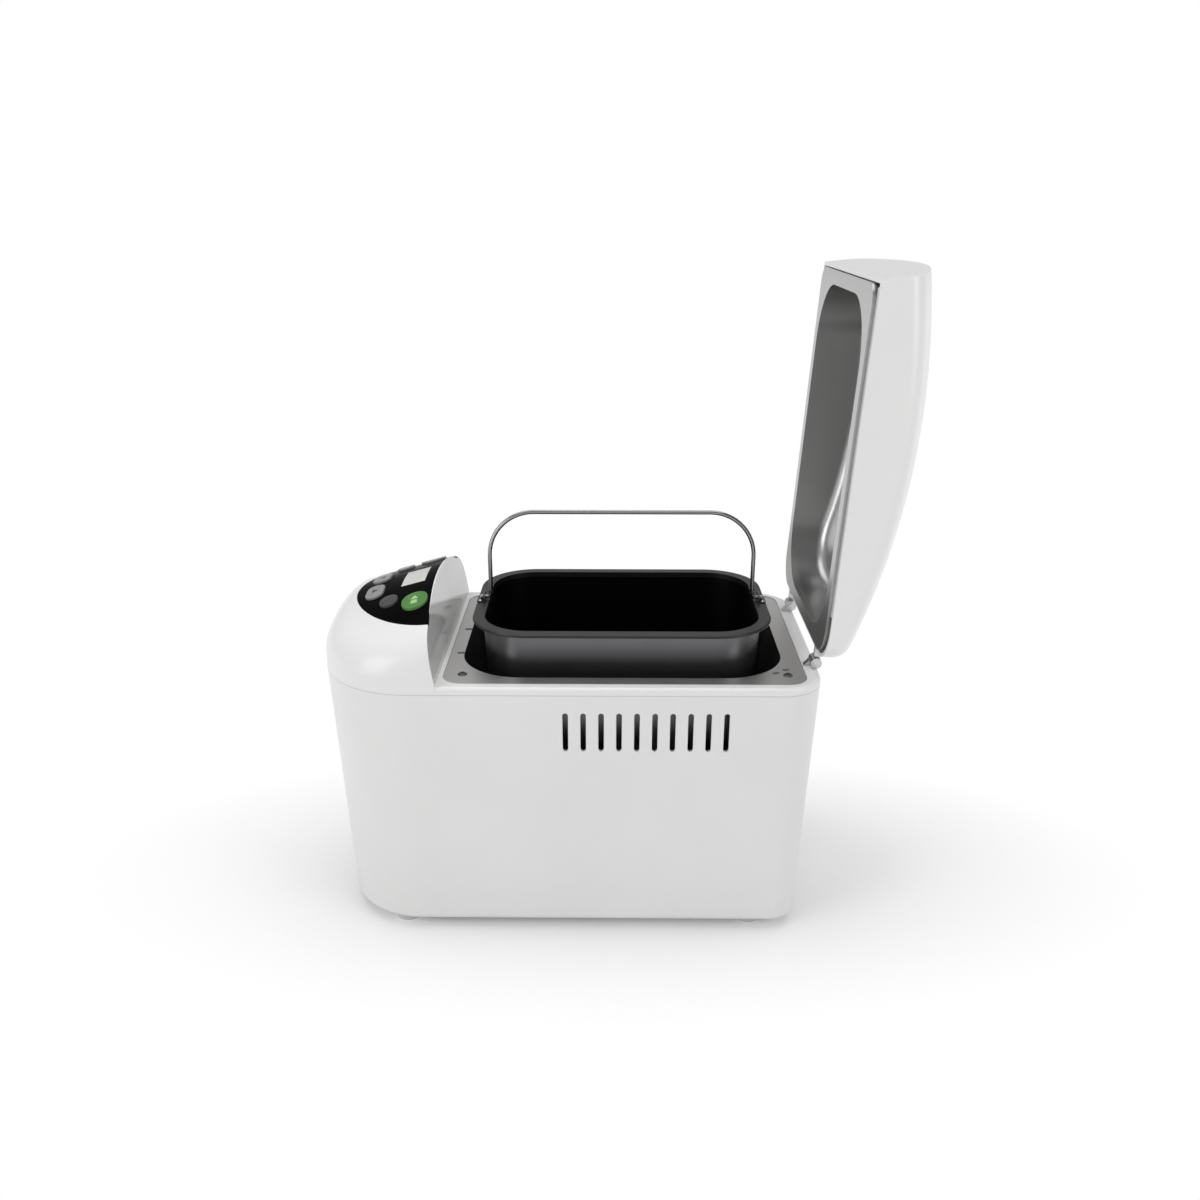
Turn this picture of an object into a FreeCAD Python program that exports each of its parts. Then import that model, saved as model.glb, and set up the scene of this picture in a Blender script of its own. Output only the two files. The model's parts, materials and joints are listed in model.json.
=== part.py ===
import FreeCAD, Part
import math
import os
import Sketcher

# A bread machine with its lid open and the handle of its pan raised. Millimetres, +Z up, floor at z = 0.
# The console is at -X, the lid's hinge at +X. X positions are reaches from the axis of the oven and drive.
doc = FreeCAD.newDocument("bread_machine")
sheet = doc.addObject("Spreadsheet::Sheet", "sheet")

SIZES = {
    # overall
    "oven_x": 4.76, "front_reach": 221.0, "rear_reach": 143.0, "half_width": 102.0,
    "front_corner": 70.0, "rear_corner": 30.0, "wall": 2.5, "cut_reach": 700.0, "spare": 0.2,
    # housing
    "floor_z": 7.0, "seam_z": 200.0, "wall_draft": 2.8, "bottom_round": 6.0, "floor_ledge": 24.0,
    "vent_count": 10.0, "vent_first": 40.1, "vent_pitch": 12.7, "vent_width": 4.0, "vent_low": 155.6,
    "vent_high": 186.3,
    "base_thickness": 2.2, "base_margin": 8.0, "base_slot_width": 4.0, "base_slot_half": 22.0,
    "base_slot_pitch": 12.0, "base_slot_first": 60.0, "base_slot_count": 9.0,
    "foot_radius": 10.0, "foot_front": 38.8, "foot_rear": 26.8, "foot_side": 11.0, "foot_draft": 6.0,
    "gland_radius": 6.0, "gland_flange": 9.0, "gland_lip": 2.5, "gland_seat": 0.5, "gland_bore": 3.6,
    "gland_y": 50.0, "gland_z": 42.0, "gland_depth": 10.0,
    # deck and frame
    "strip_z": 205.5, "deck_drop": 0.5, "deck_thickness": 1.0, "deck_front": 128.0, "deck_rear": 132.0,
    "deck_half": 93.5, "deck_corner": 14.0, "deck_gap": 0.3, "ledge_width": 6.5, "strip_round": 3.0,
    "opening_front": 118.0, "opening_rear": 119.0, "opening_half": 81.5, "opening_corner": 45.0,
    # console
    "flank_reach": 131.0, "flank_lean": 8.9, "crest_reach": 137.0, "crest_z": 260.0, "slope": 15.6,
    "arch_radius": 215.0, "arch_half": 130.0, "console_round": 27.0,
    "panel_edge": 4.0, "panel_tip": 68.0, "panel_half": 79.0, "panel_depth": 1.2, "panel_gap": 0.15,
    "board_depth": 17.0, "board_thickness": 1.6, "board_edge": 8.4, "board_tip": 64.0, "board_half": 62.0,
    "board_shoulder": 30.0, "board_nose": 37.0, "post_radius": 3.0, "post_front": 50.0, "post_rear": 16.0,
    "post_front_half": 38.0, "post_rear_half": 27.0,
    "window_near": 12.0, "window_far": 31.0, "window_half": 17.0, "window_gap": 0.2,
    "module_margin": 3.0, "module_gap": 0.3,
    "key_travel": 1.2, "key_proud": 1.6, "key_gap": 0.35, "key_flange": 1.2, "key_flange_thickness": 1.0,
    "key_stem": 2.5, "key_round": 0.6, "switch_half": 3.0, "switch_clear": 0.35, "switch_height": 3.5,
    "key_seat": 0.35,
    "start_x": 16.2, "start_y": -47.8, "start_long": 10.8, "start_wide": 10.0,
    "oval_x": 37.3, "oval_y": 38.8, "oval_long": 7.8, "oval_wide": 7.0,
    "timer_x": 51.5, "timer_y": 15.8, "timer_long": 11.8, "timer_wide": 7.0,
    # oven
    "chamber_wall": 1.0, "chamber_floor_z": 78.0, "chamber_draft": 4.9,
    "chamber_flange": 4.0, "shaft_hole": 9.0,
    "tube_radius": 3.25, "tube_z": 99.0, "tube_stand_off": 7.0,
    "tube_corner": 32.0, "tube_gap_half": 16.0, "tube_tail": 8.0, "tube_bend": 8.0, "tube_clear": 0.4,
    "support_radius": 2.4, "support_x": 55.0,
    "sensor_radius": 2.5, "sensor_reach": 9.0, "sensor_flange": 7.0, "sensor_plate": 2.0, "sensor_z": 128.0,
    "sensor_tail": 8.0, "sensor_seat": 0.5,
    "seat_radius": 49.0, "seat_bore": 43.0, "seat_height": 10.0, "seat_flange": 57.0, "seat_plate": 2.0,
    "seat_notch": 14.0, "seat_notch_depth": 5.0,
    # drive
    "frame_z": 54.0, "frame_thickness": 2.0, "frame_front": 200.0, "frame_rear": 52.0, "frame_half": 72.0,
    "frame_corner": 8.0, "frame_front_corner": 30.0, "leg_radius": 5.0, "leg_front": 172.0, "leg_rear": 40.0,
    "leg_front_half": 48.0, "leg_rear_half": 58.0, "frame_hole": 12.0,
    "motor_reach": 166.0, "motor_radius": 38.0, "motor_height": 62.0, "motor_neck": 18.0, "motor_cap": 8.0,
    "motor_cap_radius": 30.0, "motor_band": 3.0, "motor_band_low": 18.0, "motor_band_high": 44.0,
    "motor_shaft_radius": 4.0, "shaft_radius": 4.5, "running_gap": 0.06,
    "pulley_z": 31.0, "pulley_height": 14.0, "pulley_radius": 50.0, "pulley_rim": 5.0, "pulley_web": 4.0,
    "pulley_hub": 12.0, "motor_pulley_radius": 9.0, "belt_thickness": 2.5, "belt_inset": 1.5,
    "shaft_low": 28.0, "shaft_top": 86.0, "bearing_radius": 20.0, "bearing_neck": 12.0, "bearing_foot": 6.0,
    "dog_z": 82.0, "dog_radius": 15.0, "dog_plate": 5.0, "dog_top": 92.0, "dog_slot": 9.0, "dog_bore": 6.5,
    "capacitor_radius": 12.0, "capacitor_height": 50.0, "capacitor_x": 150.0, "capacitor_y": 57.0,
    "power_y": 56.0, "power_front": 190.0, "power_rear": 132.0, "power_height": 56.0,
    "power_part_wide": 12.0, "power_part_deep": 8.0, "power_part_high": 20.0,
    # pan
    "rim_z": 235.0, "rim_thickness": 2.4, "rim_half_long": 111.0, "rim_half_wide": 76.0, "rim_corner": 43.0,
    "rim_width": 9.0, "rim_round": 1.1, "pan_wall": 1.5, "pan_low_z": 96.5, "pan_draft": 3.7,
    "skirt_radius": 42.0, "skirt_wall": 2.5, "skirt_gap": 0.4, "bushing_radius": 11.0, "bushing_rise": 4.0,
    "spindle_radius": 4.0, "spindle_top": 122.0, "wing_z": 87.5, "wing_half": 12.0,
    "wing_thick": 3.5, "wing_clear": 0.5,
    "paddle_hub": 9.0, "paddle_low": 1.0, "paddle_high": 24.0, "blade_reach": 44.0, "blade_thick": 5.0,
    "blade_high": 26.0, "blade_root": 9.0, "blade_clear": 1.0, "blade_round": 6.0, "blade_rake": 6.0,
    "wire_radius": 1.6, "bail_z": 237.4, "bail_half": 100.5, "bail_rise": 67.5, "bail_corner": 34.0,
    "bail_bend": 3.4, "bail_end": 108.5, "ear_reach": 105.0, "ear_thickness": 1.4, "ear_half": 7.0,
    "ear_top": 3.4, "ear_foot": 4.5, "ear_sheet": 0.8, "ear_gap": 0.1, "ear_round": 2.5,
    # lid
    "hinge_reach": 141.0, "hinge_z": 210.0, "open_angle": 93.7, "lid_plane_z": 207.3,
    "lid_front_gap": 1.5, "lid_rear": 9.0, "lid_half": 98.5, "lid_rear_corner": 30.0, "lid_round": 14.0,
    "crown_at": 175.4, "crown_rise": 61.0, "crown_radius": 520.0, "lid_edge": 2.2,
    "liner_gap": 0.5, "liner_sheet": 0.8, "liner_half": 91.0, "liner_front": 268.0, "liner_rear": 14.0,
    "liner_corner": 12.0, "liner_rear_corner": 22.0, "liner_fold": 3.5, "cavity_half": 80.5,
    "cavity_front": 258.0, "cavity_rear": 23.0, "cavity_corner": 45.0, "cavity_round": 9.0,
    "pin_radius": 2.4, "pin_head": 4.0, "pin_head_thick": 1.6, "hinge_y": 60.0, "bracket_thick": 5.0,
    "knuckle_radius": 4.0, "arm_thick": 4.0, "arm_gap": 0.6, "arm_reach": 29.0,
    "arm_height": 4.5, "bracket_foot": 8.0, "pin_over": 0.6, "boss_front": 225.0, "boss_rear": 62.0,
    "boss_y": 86.0, "boss_radius": 3.0,
}
for row, (alias, number) in enumerate(SIZES.items(), 1):
    sheet.set(f"A{row}", alias)
    sheet.set(f"B{row}", str(number))
    sheet.setAlias(f"B{row}", alias)
doc.recompute()


class Size:
    """A length or angle with its number and the expression that ties it to the sheet."""

    def __init__(self, number, text):
        self.number = number
        self.text = text

    def __add__(self, other):
        other = as_size(other)
        return Size(self.number + other.number, f"({self.text} + {other.text})")

    def __radd__(self, other):
        return as_size(other) + self

    def __sub__(self, other):
        other = as_size(other)
        return Size(self.number - other.number, f"({self.text} - {other.text})")

    def __rsub__(self, other):
        return as_size(other) - self

    def __mul__(self, other):
        other = as_size(other)
        return Size(self.number * other.number, f"({self.text} * {other.text})")

    def __rmul__(self, other):
        return as_size(other) * self

    def __truediv__(self, other):
        other = as_size(other)
        return Size(self.number / other.number, f"({self.text} / {other.text})")

    def __neg__(self):
        return Size(-self.number, f"(-{self.text})")


def as_size(value):
    if isinstance(value, Size):
        return value
    return Size(float(value), repr(float(value)))


def root(value):
    return Size(math.sqrt(value.number), f"sqrt({value.text})")


def tangent(angle):
    return Size(math.tan(math.radians(angle.number)), f"tan({angle.text} * 1 deg)")


class Named:
    """The sheet's sizes by name."""

    def __getattr__(self, alias):
        return Size(float(getattr(sheet, alias)), f"sheet.{alias}")


v = Named()
Vector = FreeCAD.Vector


def bind(thing, path, value):
    thing.setExpression(path, as_size(value).text)


def frame_of(thing, x=0, y=0, z=0, axis=(0, 0, 1), turn=0):
    """Put a body into a shifted and turned frame."""
    turn = as_size(turn)
    base = Vector(as_size(x).number, as_size(y).number, as_size(z).number)
    thing.Placement = FreeCAD.Placement(base, FreeCAD.Rotation(Vector(*axis), 1))
    for path, value in (("x", x), ("y", y), ("z", z)):
        if isinstance(value, Size):
            bind(thing, "Placement.Base." + path, value)
    bind(thing, "Placement.Rotation.Angle", turn)


def body(label, frame=None):
    made = doc.addObject("PartDesign::Body", label)
    made.Label = label
    if frame:
        frame(made)
    return made


def console_frame(thing):
    """Origin on the crest of the console, -X down the slope of the panel, +Z square to the panel."""
    frame_of(thing, v.oven_x - v.crest_reach, 0, v.crest_z, (0, 1, 0), -v.slope)


def lid_frame(thing):
    """Origin on the hinge axis, -X along the lid to its free end, as if closed, then opened."""
    frame_of(thing, v.oven_x + v.hinge_reach, 0, v.hinge_z, (0, 1, 0), v.open_angle)


def sketch(owner, plane, lift=0, across=0, up=0, tilt=0):
    made = owner.newObject("Sketcher::SketchObject", owner.Label + "_sketch")
    role = plane + "_Plane"
    made.AttachmentSupport = [(next(o for o in owner.Origin.OriginFeatures if o.Role == role), "")]
    made.MapMode = "FlatFace"
    tilt = as_size(tilt)
    made.AttachmentOffset = FreeCAD.Placement(Vector(), FreeCAD.Rotation(Vector(1, 0, 0), 1))
    for path, value in (("x", across), ("y", up), ("z", lift)):
        bind(made, "AttachmentOffset.Base." + path, value)
    bind(made, "AttachmentOffset.Rotation.Angle", tilt)
    return made


class Rules:
    """Constraints of one sketch, added together, with their sizes tied to the sheet."""

    def __init__(self, owner):
        self.owner = owner
        self.found = []
        self.ties = []

    def add(self, kind, *ends):
        self.found.append(Sketcher.Constraint(kind, *ends))

    def sized(self, kind, *ends, value):
        value = as_size(value)
        self.ties.append((len(self.found), value.text))
        self.add(kind, *ends, value.number)

    def lock(self, item, end, x, y):
        for kind, axis, value in (("DistanceX", -2, x), ("DistanceY", -1, y)):
            if isinstance(value, Size):
                self.sized(kind, -1, 1, item, end, value=value)
            elif value == 0:
                self.add("PointOnObject", item, end, axis)
            else:
                self.sized(kind, -1, 1, item, end, value=value)

    def done(self):
        first = self.owner.ConstraintCount
        self.owner.addConstraint(self.found)
        for index, text in self.ties:
            self.owner.setExpression(f"Constraints[{first + index}]", text)


def angle_about(centre, spot):
    return math.atan2(spot.y - centre.y, spot.x - centre.x)


def outline(owner, corners, bulges=None, closed=True):
    """A loop of lines through corners (x, y) or (x, y, radius); a bulge is the point an arc passes."""
    bulges = bulges or {}
    rules = Rules(owner)
    count = len(corners)
    spots = [Vector(as_size(c[0]).number, as_size(c[1]).number) for c in corners]
    marks = []
    for corner, spot in zip(corners, spots):
        mark = owner.addGeometry(Part.Point(spot), True)
        rules.lock(mark, 1, corner[0], corner[1])
        marks.append(mark)
    rounds = {}
    for i, corner in enumerate(corners):
        if len(corner) < 3:
            continue
        back = (spots[i - 1] - spots[i]).normalize()
        ahead = (spots[(i + 1) % count] - spots[i]).normalize()
        half = back.getAngle(ahead) / 2
        radius = as_size(corner[2]).number
        reach = radius / math.tan(half)
        centre = spots[i] + (back + ahead).normalize() * (radius / math.sin(half))
        rounds[i] = (spots[i] + back * reach, spots[i] + ahead * reach, centre, radius)
    edges = []
    last = count if closed else count - 1
    for i in range(last):
        j = (i + 1) % count
        start = rounds[i][1] if i in rounds else spots[i]
        end = rounds[j][0] if j in rounds else spots[j]
        flip = False
        if i in bulges:
            middle = Vector(as_size(bulges[i][0]).number, as_size(bulges[i][1]).number)
            circle = Part.Arc(start, middle, end).toShape().Curve
            flip = (middle - start).cross(end - middle).z < 0
            angles = [angle_about(circle.Center, spot) for spot in ((end, start) if flip else (start, end))]
            edge = owner.addGeometry(Part.ArcOfCircle(
                Part.Circle(circle.Center, Vector(0, 0, 1), circle.Radius), *angles), False)
            passed = owner.addGeometry(Part.Point(middle), True)
            rules.lock(passed, 1, bulges[i][0], bulges[i][1])
            rules.add("PointOnObject", passed, 1, edge)
        else:
            edge = owner.addGeometry(Part.LineSegment(start, end), False)
        ends = (2, 1) if flip else (1, 2)
        for corner, end_index in ((i, ends[0]), (j, ends[1])):
            if corner in rounds:
                rules.add("PointOnObject", marks[corner], 1, edge)
            else:
                rules.add("Coincident", marks[corner], 1, edge, end_index)
        edges.append((edge, ends))
    for i, (before, after, centre, radius) in rounds.items():
        turn = (before - centre).cross(after - centre).z
        first, second = (before, after) if turn > 0 else (after, before)
        angles = [angle_about(centre, spot) for spot in (first, second)]
        arc = Part.ArcOfCircle(Part.Circle(centre, Vector(0, 0, 1), radius), *angles)
        item = owner.addGeometry(arc, False)
        at_before, at_after = (1, 2) if turn > 0 else (2, 1)
        coming, coming_ends = edges[i - 1]
        leaving, leaving_ends = edges[i % len(edges)]
        rules.add("Tangent", coming, coming_ends[1], item, at_before)
        rules.add("Tangent", item, at_after, leaving, leaving_ends[0])
        rules.sized("Radius", item, value=corners[i][2])
    rules.done()


def box_corners(x_low, x_high, y_low, y_high, radius=None, far_radius=None):
    """Four corners, with one radius, or one at the low X end and another at the high X end."""
    spots = [(x_low, y_low), (x_high, y_low), (x_high, y_high), (x_low, y_high)]
    if radius is None:
        return spots
    far = radius if far_radius is None else far_radius
    return [s + (r,) for s, r in zip(spots, (radius, far, far, radius))]


def circles(owner, *rings):
    rules = Rules(owner)
    for x, y, radius in rings:
        centre = Vector(as_size(x).number, as_size(y).number)
        item = owner.addGeometry(Part.Circle(centre, Vector(0, 0, 1), as_size(radius).number), False)
        rules.lock(item, 3, x, y)
        rules.sized("Radius", item, value=radius)
    rules.done()


def feature(kind, profile, **values):
    owner = profile.getParentGeoFeatureGroup()
    made = owner.newObject("PartDesign::" + kind, owner.Label + "_" + kind.lower())
    made.Profile = profile
    for name, value in values.items():
        if isinstance(value, Size):
            bind(made, name, value)
        else:
            setattr(made, name, value)
    return made


def pad(profile, length, **values):
    return feature("Pad", profile, Length=length, **values)


def slice_through(profile):
    """Cut a profile right through its body, to both sides of the sketch."""
    return feature("Pocket", profile, Length=v.cut_reach, Midplane=True)


def turned(kind, profile, axis, **values):
    """Turn a profile about its sketch's own X (H_Axis) or Y (V_Axis) axis, or about a drawn line."""
    return feature(kind, profile, ReferenceAxis=(profile, [axis]), **values)


def revolve(label, profile_corners, x=0, y=0, frame=None):
    """A turned piece about a vertical axis, from (radius, height) corners."""
    made = body(label, frame or (lambda thing: frame_of(thing, x, y)))
    profile = sketch(made, "XZ")
    outline(profile, profile_corners)
    turned("Revolution", profile, "V_Axis", Angle=360)
    return made


def round_edges(owner, radius, wanted):
    """Round the edges of a body for which wanted(edge) is true."""
    doc.recompute()
    base = owner.Tip
    names = [f"Edge{i}" for i, edge in enumerate(base.Shape.Edges, 1) if wanted(edge)]
    made = owner.newObject("PartDesign::Fillet", owner.Label + "_round")
    made.Base = (base, names)
    bind(made, "Radius", radius)
    return made


def boolean(kind, label, base, tool):
    made = doc.addObject("Part::" + kind, label)
    made.Label = label
    made.Base = base
    made.Tool = tool
    made.Refine = False
    return made


def cut(label, base, *tools):
    for tool in tools:
        base = boolean("Cut", label if tool is tools[-1] else label + "_stage", base, tool)
    return base


def join(label, *pieces):
    made = doc.addObject("Part::MultiFuse", label)
    made.Label = label
    made.Shapes = list(pieces)
    return made


def heights(edge):
    return [vertex.Point.z for vertex in edge.Vertexes]


def spread(edge, axis):
    found = [getattr(vertex.Point, axis) for vertex in edge.Vertexes]
    return max(found) - min(found)


front_x = v.oven_x - v.front_reach
rear_x = v.oven_x + v.rear_reach
floor_top = v.floor_z + v.wall


# Housing: a tapered tub with a rounded lower edge, a floor ledge, vent slots and a gland hole.
def drafted(label, corners_at, high_z, low_z, draft, frame=None):
    """A block that narrows downwards by a draft angle from an outline at its top."""
    made = body(label, frame)
    profile = sketch(made, "XY", high_z)
    outline(profile, corners_at)
    pad(profile, high_z - low_z, Reversed=True, TaperAngle=-draft)
    return made


def tub_form(label, inset, low_z, over):
    """The tub's outer form, or the space inside its wall."""
    grow = inset - tangent(v.wall_draft) * over
    half = v.half_width - grow
    made = drafted(label, box_corners(front_x + grow, rear_x - grow, -half, half, v.front_corner - grow,
                                      v.rear_corner - grow), v.seam_z + over, low_z, v.wall_draft)
    lowest = low_z.number
    round_edges(made, v.bottom_round - inset, lambda edge: max(heights(edge)) < lowest + 0.01)
    return made


def row_of(slot, profile, pitch, count):
    """Repeat a cut along its sketch's X axis."""
    owner = profile.getParentGeoFeatureGroup()
    row = owner.newObject("PartDesign::LinearPattern", owner.Label + "_row")
    row.Originals = [slot]
    row.Direction = (profile, ["H_Axis"])
    bind(row, "Length", pitch * (count - 1))
    bind(row, "Occurrences", count)
    owner.Tip = row


def vent_slots():
    """A row of round-ended bars across the housing, one for each pair of vent slots."""
    made = body("vent_slots")
    profile = sketch(made, "XZ")
    first = v.oven_x - v.vent_first
    half = v.vent_width / 2
    top = v.vent_high - half
    low = v.vent_low + half
    outline(profile, [(first - half, low), (first + half, low), (first + half, top), (first - half, top)],
            {0: (first, v.vent_low), 2: (first, v.vent_high)})
    row_of(pad(profile, v.cut_reach, Midplane=True), profile, v.vent_pitch, v.vent_count)
    return made


def plate(label, low_z, thickness, corners, holes=(), frame=None):
    """A flat plate from an outline, with round holes."""
    made = body(label, frame)
    profile = sketch(made, "XY", low_z)
    outline(profile, corners)
    pad(profile, thickness)
    if holes:
        gaps = sketch(made, "XY", low_z)
        circles(gaps, *holes)
        slice_through(gaps)
    return made


base_low_z = v.floor_z - v.base_thickness
wall_draw = tangent(v.wall_draft) * (v.seam_z - v.floor_z)
base_front = front_x + wall_draw + v.base_margin
base_rear = rear_x - wall_draw - v.base_margin
base_half = v.half_width - wall_draw - v.base_margin
ledge_front = front_x + wall_draw + v.floor_ledge
ledge_rear = rear_x - wall_draw - v.floor_ledge
ledge_half = v.half_width - wall_draw - v.floor_ledge
ledge_round = v.front_corner - v.floor_ledge

gland_wall_x = rear_x - tangent(v.wall_draft) * (v.seam_z - v.gland_z)


def tub():
    outside = tub_form("tub_outer", as_size(0), v.floor_z, as_size(0))
    inside = tub_form("tub_inner", v.wall, floor_top, v.spare)
    opening = body("floor_opening")
    profile = sketch(opening, "XY", v.floor_z)
    outline(profile, box_corners(ledge_front, ledge_rear, -ledge_half, ledge_half, ledge_round,
                                 v.rear_corner / 2))
    pad(profile, 3 * v.wall, Midplane=True)
    hole = body("gland_hole")
    profile = sketch(hole, "YZ", gland_wall_x)
    circles(profile, (-v.gland_y, v.gland_z, v.gland_radius))
    pad(profile, 6 * v.wall, Midplane=True)
    return cut("main_housing", outside, inside, vent_slots(), opening, hole)


main_housing = tub()


def base_with_slots():
    made = plate("base_plate", base_low_z, v.base_thickness, box_corners(
        base_front, base_rear, -base_half, base_half, v.front_corner - v.base_margin,
        v.rear_corner - v.base_margin))
    profile = sketch(made, "XY", base_low_z)
    first = v.oven_x - v.base_slot_first
    half = v.base_slot_width / 2
    outline(profile, box_corners(first - half, first + half, -v.base_slot_half, v.base_slot_half))
    row_of(slice_through(profile), profile, v.base_slot_pitch, v.base_slot_count)
    return made


base_plate = base_with_slots()


def foot(label, x, y):
    made = body(label)
    profile = sketch(made, "XY", base_low_z)
    circles(profile, (x, y, v.foot_radius))
    pad(profile, base_low_z, Reversed=True, TaperAngle=-v.foot_draft)
    return made


foot_half = base_half - v.foot_side
feet = [foot(f"foot_{end}_{side}", x, y)
        for end, x in (("front", base_front + v.foot_front), ("rear", base_rear - v.foot_rear))
        for side, y in (("right", -foot_half), ("left", foot_half))]


def gland():
    made = body("cord_gland")
    profile = sketch(made, "YZ", gland_wall_x - v.gland_depth)
    circles(profile, (-v.gland_y, v.gland_z, v.gland_radius))
    pad(profile, v.gland_depth + v.gland_seat)
    face = sketch(made, "YZ", gland_wall_x + v.gland_seat)
    circles(face, (-v.gland_y, v.gland_z, v.gland_flange))
    pad(face, v.gland_lip)
    bore = sketch(made, "YZ", gland_wall_x)
    circles(bore, (-v.gland_y, v.gland_z, v.gland_bore))
    slice_through(bore)
    return made


cord_gland = gland()


# Top cover: the console dome with its leaning flank, and the frame round the deck.
flank_slope = tangent(v.flank_lean)
flank_x = v.oven_x - v.flank_reach
crest_x = v.oven_x - v.crest_reach


def above_arch(owner, inset, **place):
    """Cut away what lies above a cylinder of the arch's radius, lowered by inset."""
    profile = sketch(owner, "YZ", **place)
    radius = v.arch_radius - inset
    low = root(radius * radius - v.arch_half * v.arch_half) - v.arch_radius
    outline(profile, [(-v.arch_half, low), (v.arch_half, low), (v.arch_half, v.arch_half),
                      (-v.arch_half, v.arch_half)], {0: (0, -inset)})
    return profile


def console_form(label, inset, low_z):
    made = body(label)
    profile = sketch(made, "XY", low_z)
    half = v.half_width - inset
    outline(profile, box_corners(front_x + inset, flank_x + v.wall, -half, half, v.front_corner - inset)[:1]
            + [(flank_x + v.wall, -half), (flank_x + v.wall, half)]
            + box_corners(front_x + inset, flank_x + v.wall, -half, half, v.front_corner - inset)[3:])
    pad(profile, v.crest_z + v.console_round - low_z)
    slice_through(above_arch(made, inset, lift=crest_x, up=v.crest_z, tilt=-v.slope))
    seam = v.seam_z.number
    round_edges(made, v.console_round - inset,
                lambda edge: min(heights(edge)) > seam + 1 and spread(edge, "x") > 0.01)
    trim = sketch(made, "XZ")
    base = flank_x - inset
    shift = flank_slope * v.crest_z
    outline(trim, [(base + flank_slope * v.strip_z, 0), (v.oven_x, 0), (v.oven_x, 2 * v.crest_z),
                   (base + flank_slope * v.strip_z - 2 * shift, 2 * v.crest_z)])
    slice_through(trim)
    return made


deck_low_z = v.strip_z - v.deck_drop - v.deck_thickness
deck_front = v.oven_x - v.deck_front
deck_rear = v.oven_x + v.deck_rear
gap_front = v.oven_x - v.opening_front
gap_rear = v.oven_x + v.opening_rear
ring_front = flank_x - v.wall


def deck_ring():
    """The white strip round the deck, with the step that carries the deck plate."""
    made = body("deck_ring")
    profile = sketch(made, "XY", v.seam_z)
    outline(profile, [(ring_front, -v.half_width), (rear_x, -v.half_width, v.rear_corner),
                      (rear_x, v.half_width, v.rear_corner), (ring_front, v.half_width)])
    pad(profile, v.strip_z - v.seam_z)
    top = v.strip_z.number
    round_edges(made, v.strip_round, lambda edge: min(heights(edge)) > top - 0.01 and
                not (spread(edge, "x") < 0.01 and edge.CenterOfMass.x < 0))
    hole = sketch(made, "XY", v.seam_z)
    outline(hole, box_corners(gap_front - v.ledge_width, gap_rear + v.ledge_width,
                              -v.opening_half - v.ledge_width, v.opening_half + v.ledge_width,
                              v.opening_corner))
    slice_through(hole)
    seat = sketch(made, "XY", deck_low_z)
    outline(seat, box_corners(deck_front - v.deck_gap, deck_rear + v.deck_gap, -v.deck_half - v.deck_gap,
                              v.deck_half + v.deck_gap, v.deck_corner + v.deck_gap))
    feature("Pocket", seat, Length=v.strip_z, Reversed=True)
    return made


def panel_prism(label, gap, deep):
    """The panel's outline, a flat edge and an arc, through the console's top."""
    made = body(label, console_frame)
    profile = sketch(made, "XY")
    edge = -v.panel_edge + gap
    outline(profile, [(edge, -v.panel_half - gap), (edge, v.panel_half + gap)],
            {1: (-v.panel_tip - gap, 0)})
    pad(profile, deep, Midplane=True)
    return made


def arch_block(label, inset):
    """Everything below the console's top, lowered by inset."""
    made = body(label, console_frame)
    profile = sketch(made, "YZ")
    radius = v.arch_radius - inset
    low = root(radius * radius - v.arch_half * v.arch_half) - v.arch_radius
    outline(profile, [(-v.arch_half, low), (v.arch_half, low), (v.arch_half, -v.arch_half),
                      (-v.arch_half, -v.arch_half)], {0: (0, -inset)})
    pad(profile, v.cut_reach, Midplane=True)
    return made


panel_room = v.crest_z
recess = cut("panel_recess", panel_prism("recess_prism", v.panel_gap, panel_room),
             arch_block("recess_floor", v.panel_depth))

KEYS = {
    "start_button": (-v.start_x, v.start_y, v.start_long, v.start_wide),
    "menu_button": (-v.start_x, -v.start_y, v.start_long, v.start_wide),
    "size_button": (-v.oval_x, -v.oval_y, v.oval_long, v.oval_wide),
    "colour_button": (-v.oval_x, v.oval_y, v.oval_long, v.oval_wide),
    "timer_up_button": (-v.timer_x, -v.timer_y, v.timer_long, v.timer_wide),
    "timer_down_button": (-v.timer_x, v.timer_y, v.timer_long, v.timer_wide),
}


def oval_corners(x, y, long, wide, grow):
    """An oval key's outline: long across the console, wide down its slope."""
    return box_corners(x - wide - grow, x + wide + grow, y - long - grow, y + long + grow,
                       wide + grow - v.spare)


def key_wells(label, grow):
    """Openings for all keys and the display, through the panel and the cover."""
    made = body(label, console_frame)
    for x, y, long, wide in KEYS.values():
        profile = sketch(made, "XY")
        outline(profile, oval_corners(x, y, long, wide, grow))
        pad(profile, 2 * v.board_depth, Midplane=True)
    profile = sketch(made, "XY")
    outline(profile, box_corners(-v.window_far - v.window_gap, -v.window_near + v.window_gap,
                                 -v.window_half - v.window_gap, v.window_half + v.window_gap))
    pad(profile, 2 * v.board_depth, Midplane=True)
    return made


wells = key_wells("key_wells", v.key_gap)
flange_wells = key_wells("flange_wells", v.key_flange + v.key_gap)
console_shell = cut("console_shell", console_form("console_outer", as_size(0), v.seam_z),
                    console_form("console_inner", v.wall, v.seam_z - v.wall), recess, flange_wells)


def board_posts():
    """Pillars that hang from the cover and carry the control board."""
    made = body("post_rods", console_frame)
    profile = sketch(made, "XY", -v.board_depth)
    circles(profile, *POSTS)
    pad(profile, v.board_depth)
    limited = boolean("Common", "board_posts", made, arch_block("post_limit", v.panel_depth + v.spare))
    return limited


POSTS = [(-reach, y * half, v.post_radius)
         for reach, half in ((v.post_rear, v.post_rear_half), (v.post_front, v.post_front_half))
         for y in (1, -1)]
top_cover = join("top_cover", console_shell, deck_ring(), board_posts())


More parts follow.
